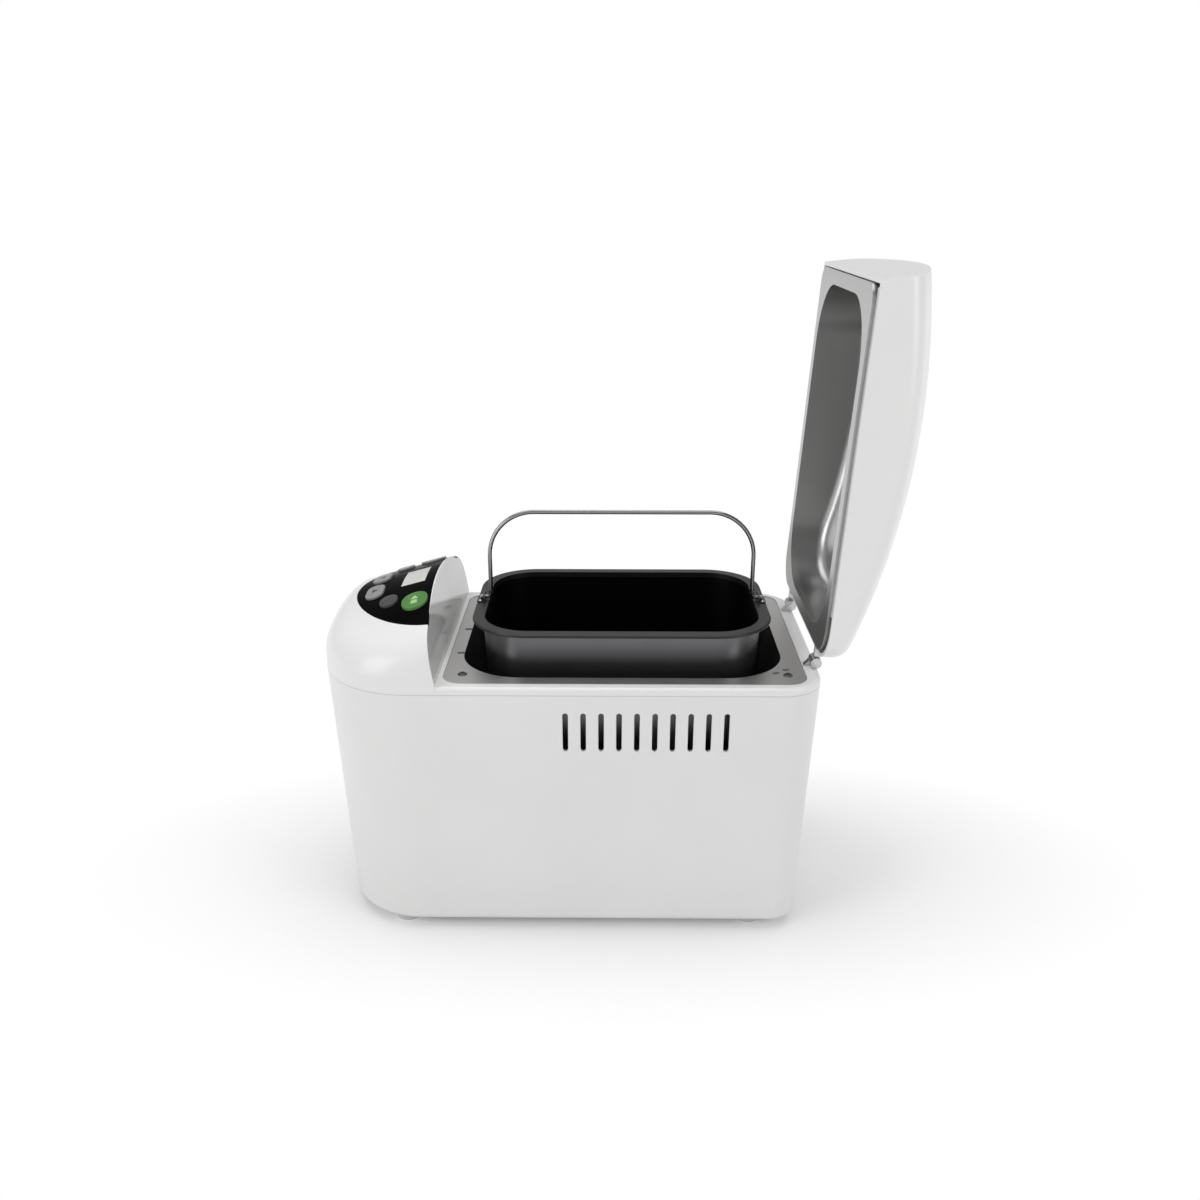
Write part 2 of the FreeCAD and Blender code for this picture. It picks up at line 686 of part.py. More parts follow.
# Control panel, its window and what lies under it.
panel_sheet = boolean("Common", "panel_block", panel_prism("panel_form", as_size(0), panel_room),
                      arch_block("panel_top", as_size(0)))
control_panel = cut("control_panel", panel_sheet, arch_block("panel_floor", v.panel_depth), wells)
board_top = -v.board_depth
window_half = v.window_half
window_slab = plate("window_slab", -v.board_depth, v.board_depth + v.spare, box_corners(
    -v.window_far, -v.window_near, -window_half, window_half), frame=console_frame)
window_block = boolean("Common", "window_block", window_slab, arch_block("window_top", v.window_gap))
display_window = cut("display_window", window_block, arch_block("window_floor", v.panel_depth + v.window_gap))
module_top = -(v.panel_depth + v.wall + v.module_margin)
display_module = plate("display_module", board_top, module_top + v.board_depth, box_corners(
    -v.window_far + v.module_gap, -v.window_near - v.module_gap, -window_half + v.module_gap,
    window_half - v.module_gap), frame=console_frame)
control_board = plate("control_board", board_top - v.board_thickness, v.board_thickness, [
    (-v.board_edge, -v.board_half), (-v.board_edge, v.board_half), (-v.board_shoulder, v.board_half),
    (-v.board_tip, v.board_nose), (-v.board_tip, -v.board_nose), (-v.board_shoulder, -v.board_half)],
    frame=console_frame)


def surface_drop(y):
    """How far the console's top lies below its crest at a distance y from the middle."""
    return v.arch_radius - root(v.arch_radius * v.arch_radius - y * y)


def key_crown(owner):
    """Cut a cap off along the console's arch, so that it stands proud by the same height all over."""
    profile = sketch(owner, "YZ")
    radius = v.arch_radius + v.key_proud
    low = root(radius * radius - v.arch_half * v.arch_half) - v.arch_radius
    outline(profile, [(-v.arch_half, low), (v.arch_half, low), (v.arch_half, v.arch_half),
                      (-v.arch_half, v.arch_half)], {0: (0, v.key_proud)})
    slice_through(profile)


def key(label, x, y, long, wide):
    """A cap that follows the console's arch, with a flange under the panel and a stem over its switch."""
    made = body(label, console_frame)
    outer = (y if y.number > 0 else -y) + long + v.key_flange
    flange_top = -(surface_drop(outer) + v.panel_depth + v.key_seat)
    cap = sketch(made, "XY", flange_top)
    outline(cap, oval_corners(x, y, long, wide, 0))
    pad(cap, 2 * v.key_proud - flange_top)
    key_crown(made)
    low = flange_top.number
    round_edges(made, v.key_round, lambda edge: min(heights(edge)) > low + 0.5)
    flange = sketch(made, "XY", flange_top - v.key_flange_thickness)
    outline(flange, oval_corners(x, y, long, wide, v.key_flange))
    pad(flange, v.key_flange_thickness)
    stem = sketch(made, "XY", stem_low)
    circles(stem, (x, y, v.key_stem))
    pad(stem, flange_top - stem_low)
    return made


switch_top = board_top + v.switch_height
stem_low = switch_top + v.key_travel + v.switch_clear
keys = [key(label, *place) for label, place in KEYS.items()]


def switches():
    made = body("key_switches", console_frame)
    for x, y, long, wide in KEYS.values():
        profile = sketch(made, "XY", board_top)
        outline(profile, box_corners(x - v.switch_half, x + v.switch_half, y - v.switch_half,
                                     y + v.switch_half))
        pad(profile, v.switch_height)
    return made


key_switches = switches()

# Deck and oven.
deck_corners = box_corners(deck_front, deck_rear, -v.deck_half, v.deck_half, v.deck_corner)
deck_plate = plate("deck_plate", deck_low_z, v.deck_thickness, deck_corners)
deck_gap = sketch(deck_plate, "XY", deck_low_z)
outline(deck_gap, box_corners(gap_front, gap_rear, -v.opening_half, v.opening_half, v.opening_corner))
slice_through(deck_gap)


def chamber_form(label, grow, low_z, over):
    """The chamber's inside below the deck, or its outside when grown by the sheet."""
    grow = grow + tangent(v.chamber_draft) * over
    half = v.opening_half + grow
    corners = box_corners(gap_front - grow, gap_rear + grow, -half, half, v.opening_corner + grow)
    return drafted(label, corners, deck_low_z + over, low_z, v.chamber_draft)


def chamber_flange():
    return plate("chamber_flange", deck_low_z - v.chamber_wall, v.chamber_wall, box_corners(
        gap_front - v.chamber_flange, gap_rear + v.chamber_flange, -v.opening_half - v.chamber_flange,
        v.opening_half + v.chamber_flange, v.opening_corner + v.chamber_flange))


def x_bars(label, spots, start, length):
    """Round bars along X from (y, z, radius) spots."""
    made = body(label)
    profile = sketch(made, "YZ", start)
    circles(profile, *spots)
    pad(profile, length)
    return made


def z_bars(label, spots, start, length):
    """Round bars along Z from (x, y, radius) spots."""
    made = body(label)
    profile = sketch(made, "XY", start)
    circles(profile, *spots)
    pad(profile, length)
    return made


tail_spots = [(y, v.tube_z, v.tube_radius + v.tube_clear) for y in (v.tube_gap_half, -v.tube_gap_half)]
tail_holes = x_bars("tail_holes", tail_spots, gap_front - v.tube_tail, v.tube_tail + v.opening_corner)
sensor_wall_x = gap_rear - tangent(v.chamber_draft) * (deck_low_z - v.sensor_z)
sensor_hole = x_bars("sensor_hole", [(0, v.sensor_z, v.sensor_radius)], sensor_wall_x - v.sensor_reach,
                     2 * v.sensor_reach)
shaft_hole = z_bars("shaft_gap", [(v.oven_x, 0, v.shaft_hole)], v.frame_z, 2 * v.frame_z)
chamber_outside = join("chamber_outside", chamber_form("chamber_outer", v.chamber_wall, v.chamber_floor_z,
                                                       as_size(0)), chamber_flange())
oven_chamber = cut("oven_chamber", chamber_outside, chamber_form(
    "chamber_inner", as_size(0), v.chamber_floor_z + v.chamber_wall, v.chamber_wall),
    tail_holes, sensor_hole, shaft_hole)
oven_floor = v.chamber_floor_z + v.chamber_wall


def wire(label, route, radius, plane, lift=0, start_plane="YZ", start_at=0, start_spot=(0, 0)):
    """A round wire swept along a route of lines and rounded corners."""
    made = body(label)
    path = sketch(made, plane, lift)
    outline(path, route, closed=False)
    end = sketch(made, start_plane, start_at)
    circles(end, (start_spot[0], start_spot[1], radius))
    doc.recompute()
    pipe = made.newObject("PartDesign::AdditivePipe", label + "_pipe")
    pipe.Profile = end
    pipe.Spine = (path, [f"Edge{i}" for i in range(1, len(path.Shape.Edges) + 1)])
    return made


tube_inset = tangent(v.chamber_draft) * (deck_low_z - v.tube_z) + v.tube_stand_off
loop_front = gap_front + tube_inset
loop_rear = gap_rear - tube_inset
tube_half_wide = v.opening_half - tube_inset
tail_x = gap_front - v.tube_tail
heating_element = wire("heating_element", [
    (tail_x, v.tube_gap_half), (loop_front, v.tube_gap_half, v.tube_bend),
    (loop_front, tube_half_wide, v.tube_corner), (loop_rear, tube_half_wide, v.tube_corner),
    (loop_rear, -tube_half_wide, v.tube_corner), (loop_front, -tube_half_wide, v.tube_corner),
    (loop_front, -v.tube_gap_half, v.tube_bend), (tail_x, -v.tube_gap_half)],
    v.tube_radius, "XY", v.tube_z, "YZ", tail_x, (v.tube_gap_half, v.tube_z))
support_spots = [(v.oven_x + x, y, v.support_radius) for x in (v.support_x, -v.support_x)
                 for y in (tube_half_wide, -tube_half_wide)]
element_supports = z_bars("element_supports", support_spots, oven_floor,
                          v.tube_z - v.tube_radius - oven_floor)


def sensor():
    made = x_bars("temperature_sensor", [(0, v.sensor_z, v.sensor_radius)], sensor_wall_x - v.sensor_reach,
                  v.sensor_reach + v.sensor_tail)
    collar = sketch(made, "YZ", sensor_wall_x + v.chamber_wall + v.sensor_seat)
    circles(collar, (0, v.sensor_z, v.sensor_flange))
    pad(collar, v.sensor_plate)
    return made


temperature_sensor = sensor()


def seat():
    made = revolve("pan_seat", [
        (v.seat_bore, oven_floor), (v.seat_flange, oven_floor), (v.seat_flange, oven_floor + v.seat_plate),
        (v.seat_radius, oven_floor + v.seat_plate), (v.seat_radius, oven_floor + v.seat_height),
        (v.seat_bore, oven_floor + v.seat_height)], v.oven_x)
    notch = sketch(made, "XZ")
    top = oven_floor + v.seat_height
    outline(notch, box_corners(-v.seat_notch / 2, v.seat_notch / 2, top - v.seat_notch_depth, top + v.wall))
    slice_through(notch)
    return made


pan_seat = seat()

# Drive: motor, belt and shaft on a frame above the base.
frame_top = v.frame_z + v.frame_thickness
motor_x = v.oven_x - v.motor_reach
frame_holes = [(v.oven_x, 0, v.frame_hole), (motor_x, 0, v.frame_hole)]
frame_plate = plate("frame_plate", v.frame_z, v.frame_thickness, box_corners(
    v.oven_x - v.frame_front, v.oven_x + v.frame_rear, -v.frame_half, v.frame_half, v.frame_front_corner,
    v.frame_corner), frame_holes)
leg_spots = [(v.oven_x + reach, y * half, v.leg_radius) for reach, half in (
    (-v.leg_front, v.leg_front_half), (v.leg_rear, v.leg_rear_half)) for y in (1, -1)]
frame_legs = z_bars("frame_legs", leg_spots, v.floor_z, v.frame_z - v.floor_z)
drive_frame = join("drive_frame", frame_plate, frame_legs)
bearing_housing = revolve("bearing_housing", [
    (v.shaft_radius + v.running_gap, frame_top), (v.bearing_radius, frame_top),
    (v.bearing_radius, frame_top + v.bearing_foot), (v.bearing_neck, frame_top + v.bearing_foot),
    (v.bearing_neck, v.chamber_floor_z), (v.shaft_radius + v.running_gap, v.chamber_floor_z)], v.oven_x)
drive_shaft = z_bars("drive_shaft", [(v.oven_x, 0, v.shaft_radius)], v.shaft_low, v.shaft_top - v.shaft_low)
pulley_top = v.pulley_z + v.pulley_height
web_low = v.pulley_z + (v.pulley_height - v.pulley_web) / 2
web_high = web_low + v.pulley_web
rim_inside = v.pulley_radius - v.pulley_rim
drive_pulley = revolve("drive_pulley", [
    (v.shaft_radius, v.pulley_z), (v.pulley_hub, v.pulley_z), (v.pulley_hub, web_low), (rim_inside, web_low),
    (rim_inside, v.pulley_z), (v.pulley_radius, v.pulley_z), (v.pulley_radius, pulley_top),
    (rim_inside, pulley_top), (rim_inside, web_high), (v.pulley_hub, web_high), (v.pulley_hub, pulley_top),
    (v.shaft_radius, pulley_top)], v.oven_x)
motor_shaft = z_bars("motor_shaft", [(motor_x, 0, v.motor_shaft_radius)], v.shaft_low,
                     frame_top + v.motor_height - v.shaft_low)
motor_pulley = revolve("motor_pulley", [
    (v.motor_shaft_radius, v.pulley_z), (v.motor_pulley_radius, v.pulley_z),
    (v.motor_pulley_radius, pulley_top), (v.motor_shaft_radius, pulley_top)], motor_x)
motor_top = frame_top + v.motor_height
motor_bore = v.motor_shaft_radius + v.running_gap
motor = revolve("motor", [
    (motor_bore, frame_top), (v.motor_cap_radius, frame_top), (v.motor_cap_radius, frame_top + v.motor_cap),
    (v.motor_radius - v.motor_band, frame_top + v.motor_cap),
    (v.motor_radius - v.motor_band, frame_top + v.motor_band_low),
    (v.motor_radius, frame_top + v.motor_band_low), (v.motor_radius, frame_top + v.motor_band_high),
    (v.motor_radius - v.motor_band, frame_top + v.motor_band_high),
    (v.motor_radius - v.motor_band, motor_top - v.motor_cap), (v.motor_neck, motor_top - v.motor_cap),
    (v.motor_neck, motor_top), (motor_bore, motor_top)], motor_x)


def belt_loop(owner, grow):
    """A loop round both pulleys, its straight runs tangent to both arcs."""
    rules = Rules(owner)
    big = v.pulley_radius + grow
    small = v.motor_pulley_radius + grow
    lean = math.asin((big.number - small.number) / v.motor_reach.number)
    far = Vector(v.oven_x.number, 0)
    near = Vector(motor_x.number, 0)
    up = Vector(-math.sin(lean), math.cos(lean))
    down = Vector(-math.sin(lean), -math.cos(lean))
    spots = [far + up * big.number, near + up * small.number, near + down * small.number,
             far + down * big.number]
    axis = Vector(0, 0, 1)
    around = owner.addGeometry(Part.ArcOfCircle(Part.Circle(far, axis, big.number),
                               angle_about(far, spots[3]), angle_about(far, spots[0])), False)
    behind = owner.addGeometry(Part.ArcOfCircle(Part.Circle(near, axis, small.number),
                               angle_about(near, spots[1]), angle_about(near, spots[2])), False)
    left = owner.addGeometry(Part.LineSegment(spots[0], spots[1]), False)
    right = owner.addGeometry(Part.LineSegment(spots[2], spots[3]), False)
    rules.lock(around, 3, v.oven_x, 0)
    rules.lock(behind, 3, motor_x, 0)
    rules.sized("Radius", around, value=big)
    rules.sized("Radius", behind, value=small)
    rules.add("Tangent", around, 2, left, 1)
    rules.add("Tangent", left, 2, behind, 1)
    rules.add("Tangent", behind, 2, right, 1)
    rules.add("Tangent", right, 2, around, 1)
    rules.done()


def belt():
    made = body("drive_belt")
    low = v.pulley_z + v.belt_inset
    high = v.pulley_height - 2 * v.belt_inset
    outside = sketch(made, "XY", low)
    belt_loop(outside, v.running_gap + v.belt_thickness)
    pad(outside, high)
    inside = sketch(made, "XY", low)
    belt_loop(inside, v.running_gap)
    slice_through(inside)
    return made


drive_belt = belt()


def coupling():
    """A cup on the drive shaft with a slot that the wing under the pan drops into."""
    made = revolve("drive_coupling", [
        (v.shaft_radius, v.dog_z), (v.dog_radius, v.dog_z), (v.dog_radius, v.dog_top),
        (v.dog_bore, v.dog_top), (v.dog_bore, v.shaft_top), (v.shaft_radius, v.shaft_top)], v.oven_x)
    slot = sketch(made, "XY", v.dog_z + v.dog_plate)
    outline(slot, box_corners(-v.dog_radius - v.wall, v.dog_radius + v.wall, -v.dog_slot / 2, v.dog_slot / 2))
    feature("Pocket", slot, Length=v.dog_top, Reversed=True)
    return made


drive_coupling = coupling()
capacitor = z_bars("capacitor", [(v.oven_x - v.capacitor_x, -v.capacitor_y, v.capacitor_radius)], frame_top,
                   v.capacitor_height)


def power_board_piece():
    """An upright board on the drive frame, with its tallest parts."""
    made = body("power_board")
    sheet_face = sketch(made, "XY", frame_top)
    outline(sheet_face, box_corners(v.oven_x - v.power_front, v.oven_x - v.power_rear, v.power_y,
                                    v.power_y + v.board_thickness))
    pad(sheet_face, v.power_height)
    for spot in (v.power_front - v.power_part_wide, v.power_rear + 2 * v.power_part_wide):
        block = sketch(made, "XY", frame_top + v.power_part_high / 2)
        outline(block, box_corners(v.oven_x - spot, v.oven_x - spot + v.power_part_wide, v.power_y
                                   + v.board_thickness, v.power_y + v.board_thickness + v.power_part_deep))
        pad(block, v.power_part_high)
    return made


power_board = power_board_piece()


# Pan, its handle and the kneading parts.
pan_half_long = v.rim_half_long - v.rim_width
pan_half_wide = v.rim_half_wide - v.rim_width
pan_corner = v.rim_corner - v.rim_width
pan_floor = v.pan_low_z + v.pan_wall
rim_low = v.rim_z - v.rim_thickness


def pan_form(label, grow, low_z, over):
    """The pan's tapered inside, or its outside when grown by the wall."""
    grow = grow + tangent(v.pan_draft) * over
    long = pan_half_long + grow
    wide = pan_half_wide + grow
    return drafted(label, box_corners(v.oven_x - long, v.oven_x + long, -wide, wide, pan_corner + grow),
                   v.rim_z + over, low_z, v.pan_draft)


def pan_rim():
    made = plate("pan_rim", rim_low, v.rim_thickness, box_corners(
        v.oven_x - v.rim_half_long, v.oven_x + v.rim_half_long, -v.rim_half_wide, v.rim_half_wide,
        v.rim_corner))
    round_edges(made, v.rim_round, lambda edge: spread(edge, "z") < 0.01)
    return made


pan_outside = join("pan_outside", pan_form("pan_outer", v.pan_wall, v.pan_low_z, -v.rim_thickness / 2),
                   pan_rim())
bushing_hole = z_bars("bushing_hole", [(v.oven_x, 0, v.bushing_radius)], v.chamber_floor_z, 2 * v.seat_radius)
bread_pan = cut("bread_pan", pan_outside, pan_form("pan_inner", as_size(0), pan_floor, v.pan_wall),
                bushing_hole)
base_plate_low = v.pan_low_z - v.skirt_wall
skirt_low = oven_floor + v.skirt_gap
skirt_inside = v.skirt_radius - v.skirt_wall
pan_base = revolve("pan_base", [
    (v.bushing_radius, base_plate_low), (skirt_inside, base_plate_low), (skirt_inside, skirt_low),
    (v.skirt_radius, skirt_low), (v.skirt_radius, v.pan_low_z), (v.bushing_radius, v.pan_low_z)], v.oven_x)
bushing_top = pan_floor + v.bushing_rise
pan_bushing = revolve("pan_bushing", [
    (v.spindle_radius + v.running_gap, base_plate_low), (v.bushing_radius, base_plate_low),
    (v.bushing_radius, bushing_top), (v.spindle_radius + v.running_gap, bushing_top)], v.oven_x)


def spindle():
    made = z_bars("pan_spindle", [(v.oven_x, 0, v.spindle_radius)], v.wing_z, v.spindle_top - v.wing_z)
    wing = sketch(made, "XY", v.wing_z)
    outline(wing, box_corners(v.oven_x - v.wing_half, v.oven_x + v.wing_half, -v.wing_thick / 2,
                              v.wing_thick / 2))
    pad(wing, base_plate_low - v.wing_clear - v.wing_z)
    return made


pan_spindle = spindle()


def paddle():
    """A hub with one swept blade that runs close to the pan's floor."""
    low = bushing_top + v.paddle_low
    high = low + v.paddle_high
    made = revolve("kneading_paddle", [
        (v.spindle_radius, low), (v.paddle_hub, low), (v.paddle_hub, high),
        (v.spindle_radius, high)], v.oven_x)
    blade = sketch(made, "XZ")
    step = v.bushing_radius + v.blade_clear
    foot_z = pan_floor + v.blade_clear
    outline(blade, [(v.blade_root - v.spindle_radius + v.spare, low), (step, low), (step, foot_z),
                    (v.blade_reach, foot_z, v.blade_round),
                    (v.blade_reach - v.blade_rake, foot_z + v.blade_high, v.blade_round),
                    (v.blade_root - v.spindle_radius + v.spare, high)])
    pad(blade, v.blade_thick, Midplane=True)
    return made


kneading_paddle = paddle()


def ear(label, side):
    """An angle bracket on the pan's rim that holds one end of the handle."""
    made = body(label)
    near = v.oven_x + side * v.ear_reach
    far = near + side * v.ear_thickness
    foot_end = far + side * v.ear_foot
    tab = sketch(made, "XZ", -v.ear_half)
    top = v.bail_z + v.ear_top
    outline(tab, [(near, v.rim_z), (foot_end, v.rim_z), (foot_end, v.rim_z + v.ear_sheet),
                  (far, v.rim_z + v.ear_sheet), (far, top), (near, top)])
    pad(tab, 2 * v.ear_half)
    hole = sketch(made, "YZ", near)
    circles(hole, (0, v.bail_z, v.wire_radius + v.ear_gap))
    feature("Pocket", hole, Length=4 * v.ear_thickness, Midplane=True)
    top_z = top.number
    round_edges(made, v.ear_round, lambda edge: min(heights(edge)) > top_z - 0.01 and spread(edge, "x") > 0.01)
    return made


ears = [ear("handle_ear_front", -1), ear("handle_ear_rear", 1)]
bail_top = v.bail_z + v.bail_rise
bail_handle = wire("bail_handle", [
    (v.oven_x - v.bail_end, v.bail_z), (v.oven_x - v.bail_half, v.bail_z, v.bail_bend),
    (v.oven_x - v.bail_half, bail_top, v.bail_corner), (v.oven_x + v.bail_half, bail_top, v.bail_corner),
    (v.oven_x + v.bail_half, v.bail_z, v.bail_bend), (v.oven_x + v.bail_end, v.bail_z)],
    v.wire_radius, "XZ", 0, "YZ", v.oven_x - v.bail_end, (0, v.bail_z))

# Lid, modelled closed in a frame on its hinge axis and then opened.
plane_z = v.lid_plane_z - v.hinge_z
lid_low = plane_z + v.lid_edge
front_foot = v.lid_front_gap - v.flank_reach - v.hinge_reach
flange_top = plane_z + v.liner_sheet


def crown_cut(owner, inset):
    """Cut away what lies above the crown: the arch turned about an axis far below the lid."""
    profile = sketch(owner, "YZ", -v.crown_at)
    apex = plane_z + v.crown_rise
    radius = v.arch_radius - inset
    low = apex + root(radius * radius - v.arch_half * v.arch_half) - v.arch_radius
    outline(profile, [(-v.arch_half, low), (v.arch_half, low), (v.arch_half, apex + v.crown_rise),
                      (-v.arch_half, apex + v.crown_rise)], {0: (0, apex - inset)})
    axis_z = apex - v.crown_radius
    spots = [Vector(-v.arch_half.number, axis_z.number), Vector(v.arch_half.number, axis_z.number)]
    line = profile.addGeometry(Part.LineSegment(*spots), True)
    rules = Rules(profile)
    rules.lock(line, 1, -v.arch_half, axis_z)
    rules.lock(line, 2, v.arch_half, axis_z)
    rules.done()
    count = sum(1 for i in range(line + 1) if profile.getConstruction(i)
                and isinstance(profile.Geometry[i], Part.LineSegment))
    turned("Groove", profile, f"Axis{count - 1}", Angle=90, Midplane=True)


def lid_block(label, inset, corners, low_z, radius, rounded):
    """A plan outline raised to the crown, with its upper edges rounded where rounded(edge) is true."""
    made = body(label, lid_frame)
    profile = sketch(made, "XY", low_z)
    outline(profile, corners)
    pad(profile, v.crown_rise + v.lid_round)
    crown_cut(made, inset)
    low = low_z.number
    round_edges(made, radius, lambda edge: min(heights(edge)) > low + 1 and rounded(edge))
    return made


def shell_form(label, inset, low_z):
    long = front_foot - v.lid_half
    half = v.lid_half - inset
    rear = -v.lid_rear - inset
    corner = v.lid_rear_corner - inset
    front_edge = long.number
    made = lid_block(label, inset, [(long, -half), (rear, -half, corner), (rear, half, corner), (long, half)],
                     low_z, v.lid_round - inset,
                     lambda edge: abs(edge.CenterOfMass.x - front_edge) > 1)
    trim = sketch(made, "XZ")
    foot_x = front_foot + inset - flank_slope * (v.hinge_z - v.strip_z)
    reach = 2 * v.crown_rise
    outline(trim, [(foot_x + flank_slope * reach, -reach), (foot_x - flank_slope * reach, reach),
                   (2 * long, reach), (2 * long, -reach)])
    slice_through(trim)
    return made


def lid_slabs(label, spots, low_y, thickness):
    """Matching slabs on both sides of the lid, from an outline in its side view."""
    made = body(label, lid_frame)
    for high_y in (low_y + thickness, -low_y):
        profile = sketch(made, "XZ", -high_y)
        outline(profile, spots)
        pad(profile, thickness)
    return made


arm_top = flange_top + v.arm_height
arm_slots = lid_slabs("arm_slots", box_corners(-v.lid_rear - 2 * v.wall, -v.lid_rear + 2 * v.wall,
                                               flange_top - v.lid_edge, arm_top + v.arm_gap),
                      v.hinge_y - v.arm_gap, v.arm_thick + 2 * v.arm_gap)
boss_rods = body("boss_rods", lid_frame)
boss_plan = sketch(boss_rods, "XY", flange_top)
circles(boss_plan, *[(-x, y * v.boss_y, v.boss_radius) for x in (v.boss_front, v.boss_rear) for y in (1, -1)])
pad(boss_plan, v.crown_rise)
boss_limit = shell_form("boss_limit", v.wall / 2, lid_low - v.lid_edge)
bosses = boolean("Common", "lid_bosses", boss_rods, boss_limit)
lid_hollow = cut("lid_hollow", shell_form("lid_outer", as_size(0), lid_low),
                 shell_form("lid_inner", v.wall, lid_low - v.lid_edge), arm_slots)
lid_shell = join("lid_shell", lid_hollow, bosses)


def cavity_form(label, inset, grow, low_z):
    return lid_block(label, inset, box_corners(
        -v.cavity_front - grow, -v.cavity_rear + grow, -v.cavity_half - grow, v.cavity_half + grow,
        v.cavity_corner + grow), low_z, v.cavity_round + grow, lambda edge: True)


def liner_tray():
    made = plate("liner_tray", plane_z, v.liner_fold, box_corners(
        -v.liner_front, -v.liner_rear, -v.liner_half, v.liner_half, v.liner_corner, v.liner_rear_corner),
        frame=lid_frame)
    inside = sketch(made, "XY", flange_top)
    outline(inside, box_corners(-v.liner_front + v.liner_sheet, -v.liner_rear - v.liner_sheet,
                                -v.liner_half + v.liner_sheet, v.liner_half - v.liner_sheet,
                                v.liner_corner - v.liner_sheet, v.liner_rear_corner - v.liner_sheet))
    feature("Pocket", inside, Length=v.liner_fold, Reversed=True)
    return made


under_shell = v.wall + v.liner_gap
cavity_outer = cavity_form("cavity_outer", under_shell, v.liner_sheet, plane_z)
cavity_inner = cavity_form("cavity_inner", under_shell + v.liner_sheet, as_size(0), plane_z - v.wall)
slot_outline = box_corners(-v.liner_rear - 2 * v.liner_sheet, -v.liner_rear + v.liner_sheet,
                           flange_top, arm_top + v.arm_gap)
liner_slots = lid_slabs("liner_slots", slot_outline, v.hinge_y - v.arm_gap, v.arm_thick + 2 * v.arm_gap)
liner_raised = join("liner_raised", liner_tray(), cavity_outer)
lid_liner = cut("lid_liner", liner_raised, cavity_inner, liner_slots)


def hinge_part(label, side, low_y, thickness, spots, radius, bore, frame):
    """A flat hinge leaf with a knuckle round the pin, on one side of the machine."""
    made = body(label, frame)
    lift = -(low_y + thickness) if side > 0 else low_y
    leaf = sketch(made, "XZ", lift)
    outline(leaf, spots)
    pad(leaf, thickness)
    knuckle = sketch(made, "XZ", lift)
    circles(knuckle, (0, 0, radius))
    pad(knuckle, thickness)
    hole = sketch(made, "XZ", lift)
    circles(hole, (0, 0, bore))
    slice_through(hole)
    return made


def hinge_frame(thing):
    frame_of(thing, v.oven_x + v.hinge_reach, 0, v.hinge_z)


def hinge_pin(label, side):
    made = body(label, hinge_frame)
    low = bracket_y - v.pin_over
    high = v.hinge_y + v.arm_thick + v.pin_over
    rod = sketch(made, "XZ", -high if side > 0 else low)
    circles(rod, (0, 0, v.pin_radius))
    pad(rod, high - low)
    cap = sketch(made, "XZ", -(high + v.pin_head_thick) if side > 0 else high)
    circles(cap, (0, 0, v.pin_head))
    pad(cap, v.pin_head_thick)
    return made


bracket_y = v.hinge_y - v.arm_gap - v.bracket_thick
strip_local = v.strip_z - v.hinge_z
arm_spots = box_corners(-v.arm_reach, 0, flange_top, arm_top)
bracket_spots = [(-v.bracket_foot, strip_local), (0, strip_local), (v.knuckle_radius, 0),
                 (-v.knuckle_radius, 0)]
hinge_pieces = []
for side, word in ((-1, "right"), (1, "left")):
    hinge_pieces.append(hinge_part("hinge_arm_" + word, side, v.hinge_y, v.arm_thick, arm_spots,
                                   v.knuckle_radius, v.pin_radius + v.running_gap, lid_frame))
    hinge_pieces.append(hinge_part("hinge_bracket_" + word, side, bracket_y, v.bracket_thick, bracket_spots,
                                   v.knuckle_radius, v.pin_radius, hinge_frame))
    hinge_pieces.append(hinge_pin("hinge_pin_" + word, side))

# Check every object, then write each piece to its own file.
PIECES = [
    main_housing, base_plate, *feet, cord_gland, top_cover, control_panel, display_window, display_module,
    control_board, key_switches, *keys, deck_plate, oven_chamber, heating_element, element_supports,
    temperature_sensor, pan_seat, drive_frame, bearing_housing, drive_shaft, drive_pulley, motor_shaft,
    motor_pulley, motor, drive_belt, drive_coupling, capacitor, power_board, bread_pan, pan_base, pan_bushing,
    pan_spindle, kneading_paddle, *ears, bail_handle, lid_shell, lid_liner, *hinge_pieces,
]
doc.recompute()
for thing in doc.Objects:
    for word in thing.State:
        if word in ("Invalid", "Error"):
            raise RuntimeError(f"{thing.Label}: {thing.State} {thing.getStatusString()}")
for piece in PIECES:
    if piece.Shape.isNull() or not piece.Shape.isValid() or not piece.Shape.Solids:
        raise RuntimeError(f"{piece.Label}: no valid solid")
os.makedirs("parts", exist_ok=True)
for piece in PIECES:
    piece.Shape.exportStep(f"parts/{piece.Label}.step")
    print(piece.Label, len(piece.Shape.Solids), round(piece.Shape.Volume))
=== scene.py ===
import bpy
import json
import math
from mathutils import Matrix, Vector


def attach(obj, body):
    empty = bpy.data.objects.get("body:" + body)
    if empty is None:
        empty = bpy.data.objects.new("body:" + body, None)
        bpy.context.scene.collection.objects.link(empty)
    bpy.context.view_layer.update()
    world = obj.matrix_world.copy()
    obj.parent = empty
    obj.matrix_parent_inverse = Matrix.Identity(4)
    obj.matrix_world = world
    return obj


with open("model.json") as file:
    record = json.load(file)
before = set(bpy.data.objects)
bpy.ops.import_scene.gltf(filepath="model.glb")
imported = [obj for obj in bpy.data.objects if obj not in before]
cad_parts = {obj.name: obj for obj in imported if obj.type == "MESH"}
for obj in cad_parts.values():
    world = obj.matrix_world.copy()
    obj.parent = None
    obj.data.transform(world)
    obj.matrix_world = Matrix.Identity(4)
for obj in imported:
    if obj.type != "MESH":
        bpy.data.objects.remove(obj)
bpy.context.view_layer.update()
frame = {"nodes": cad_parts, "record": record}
nodes = frame["nodes"]

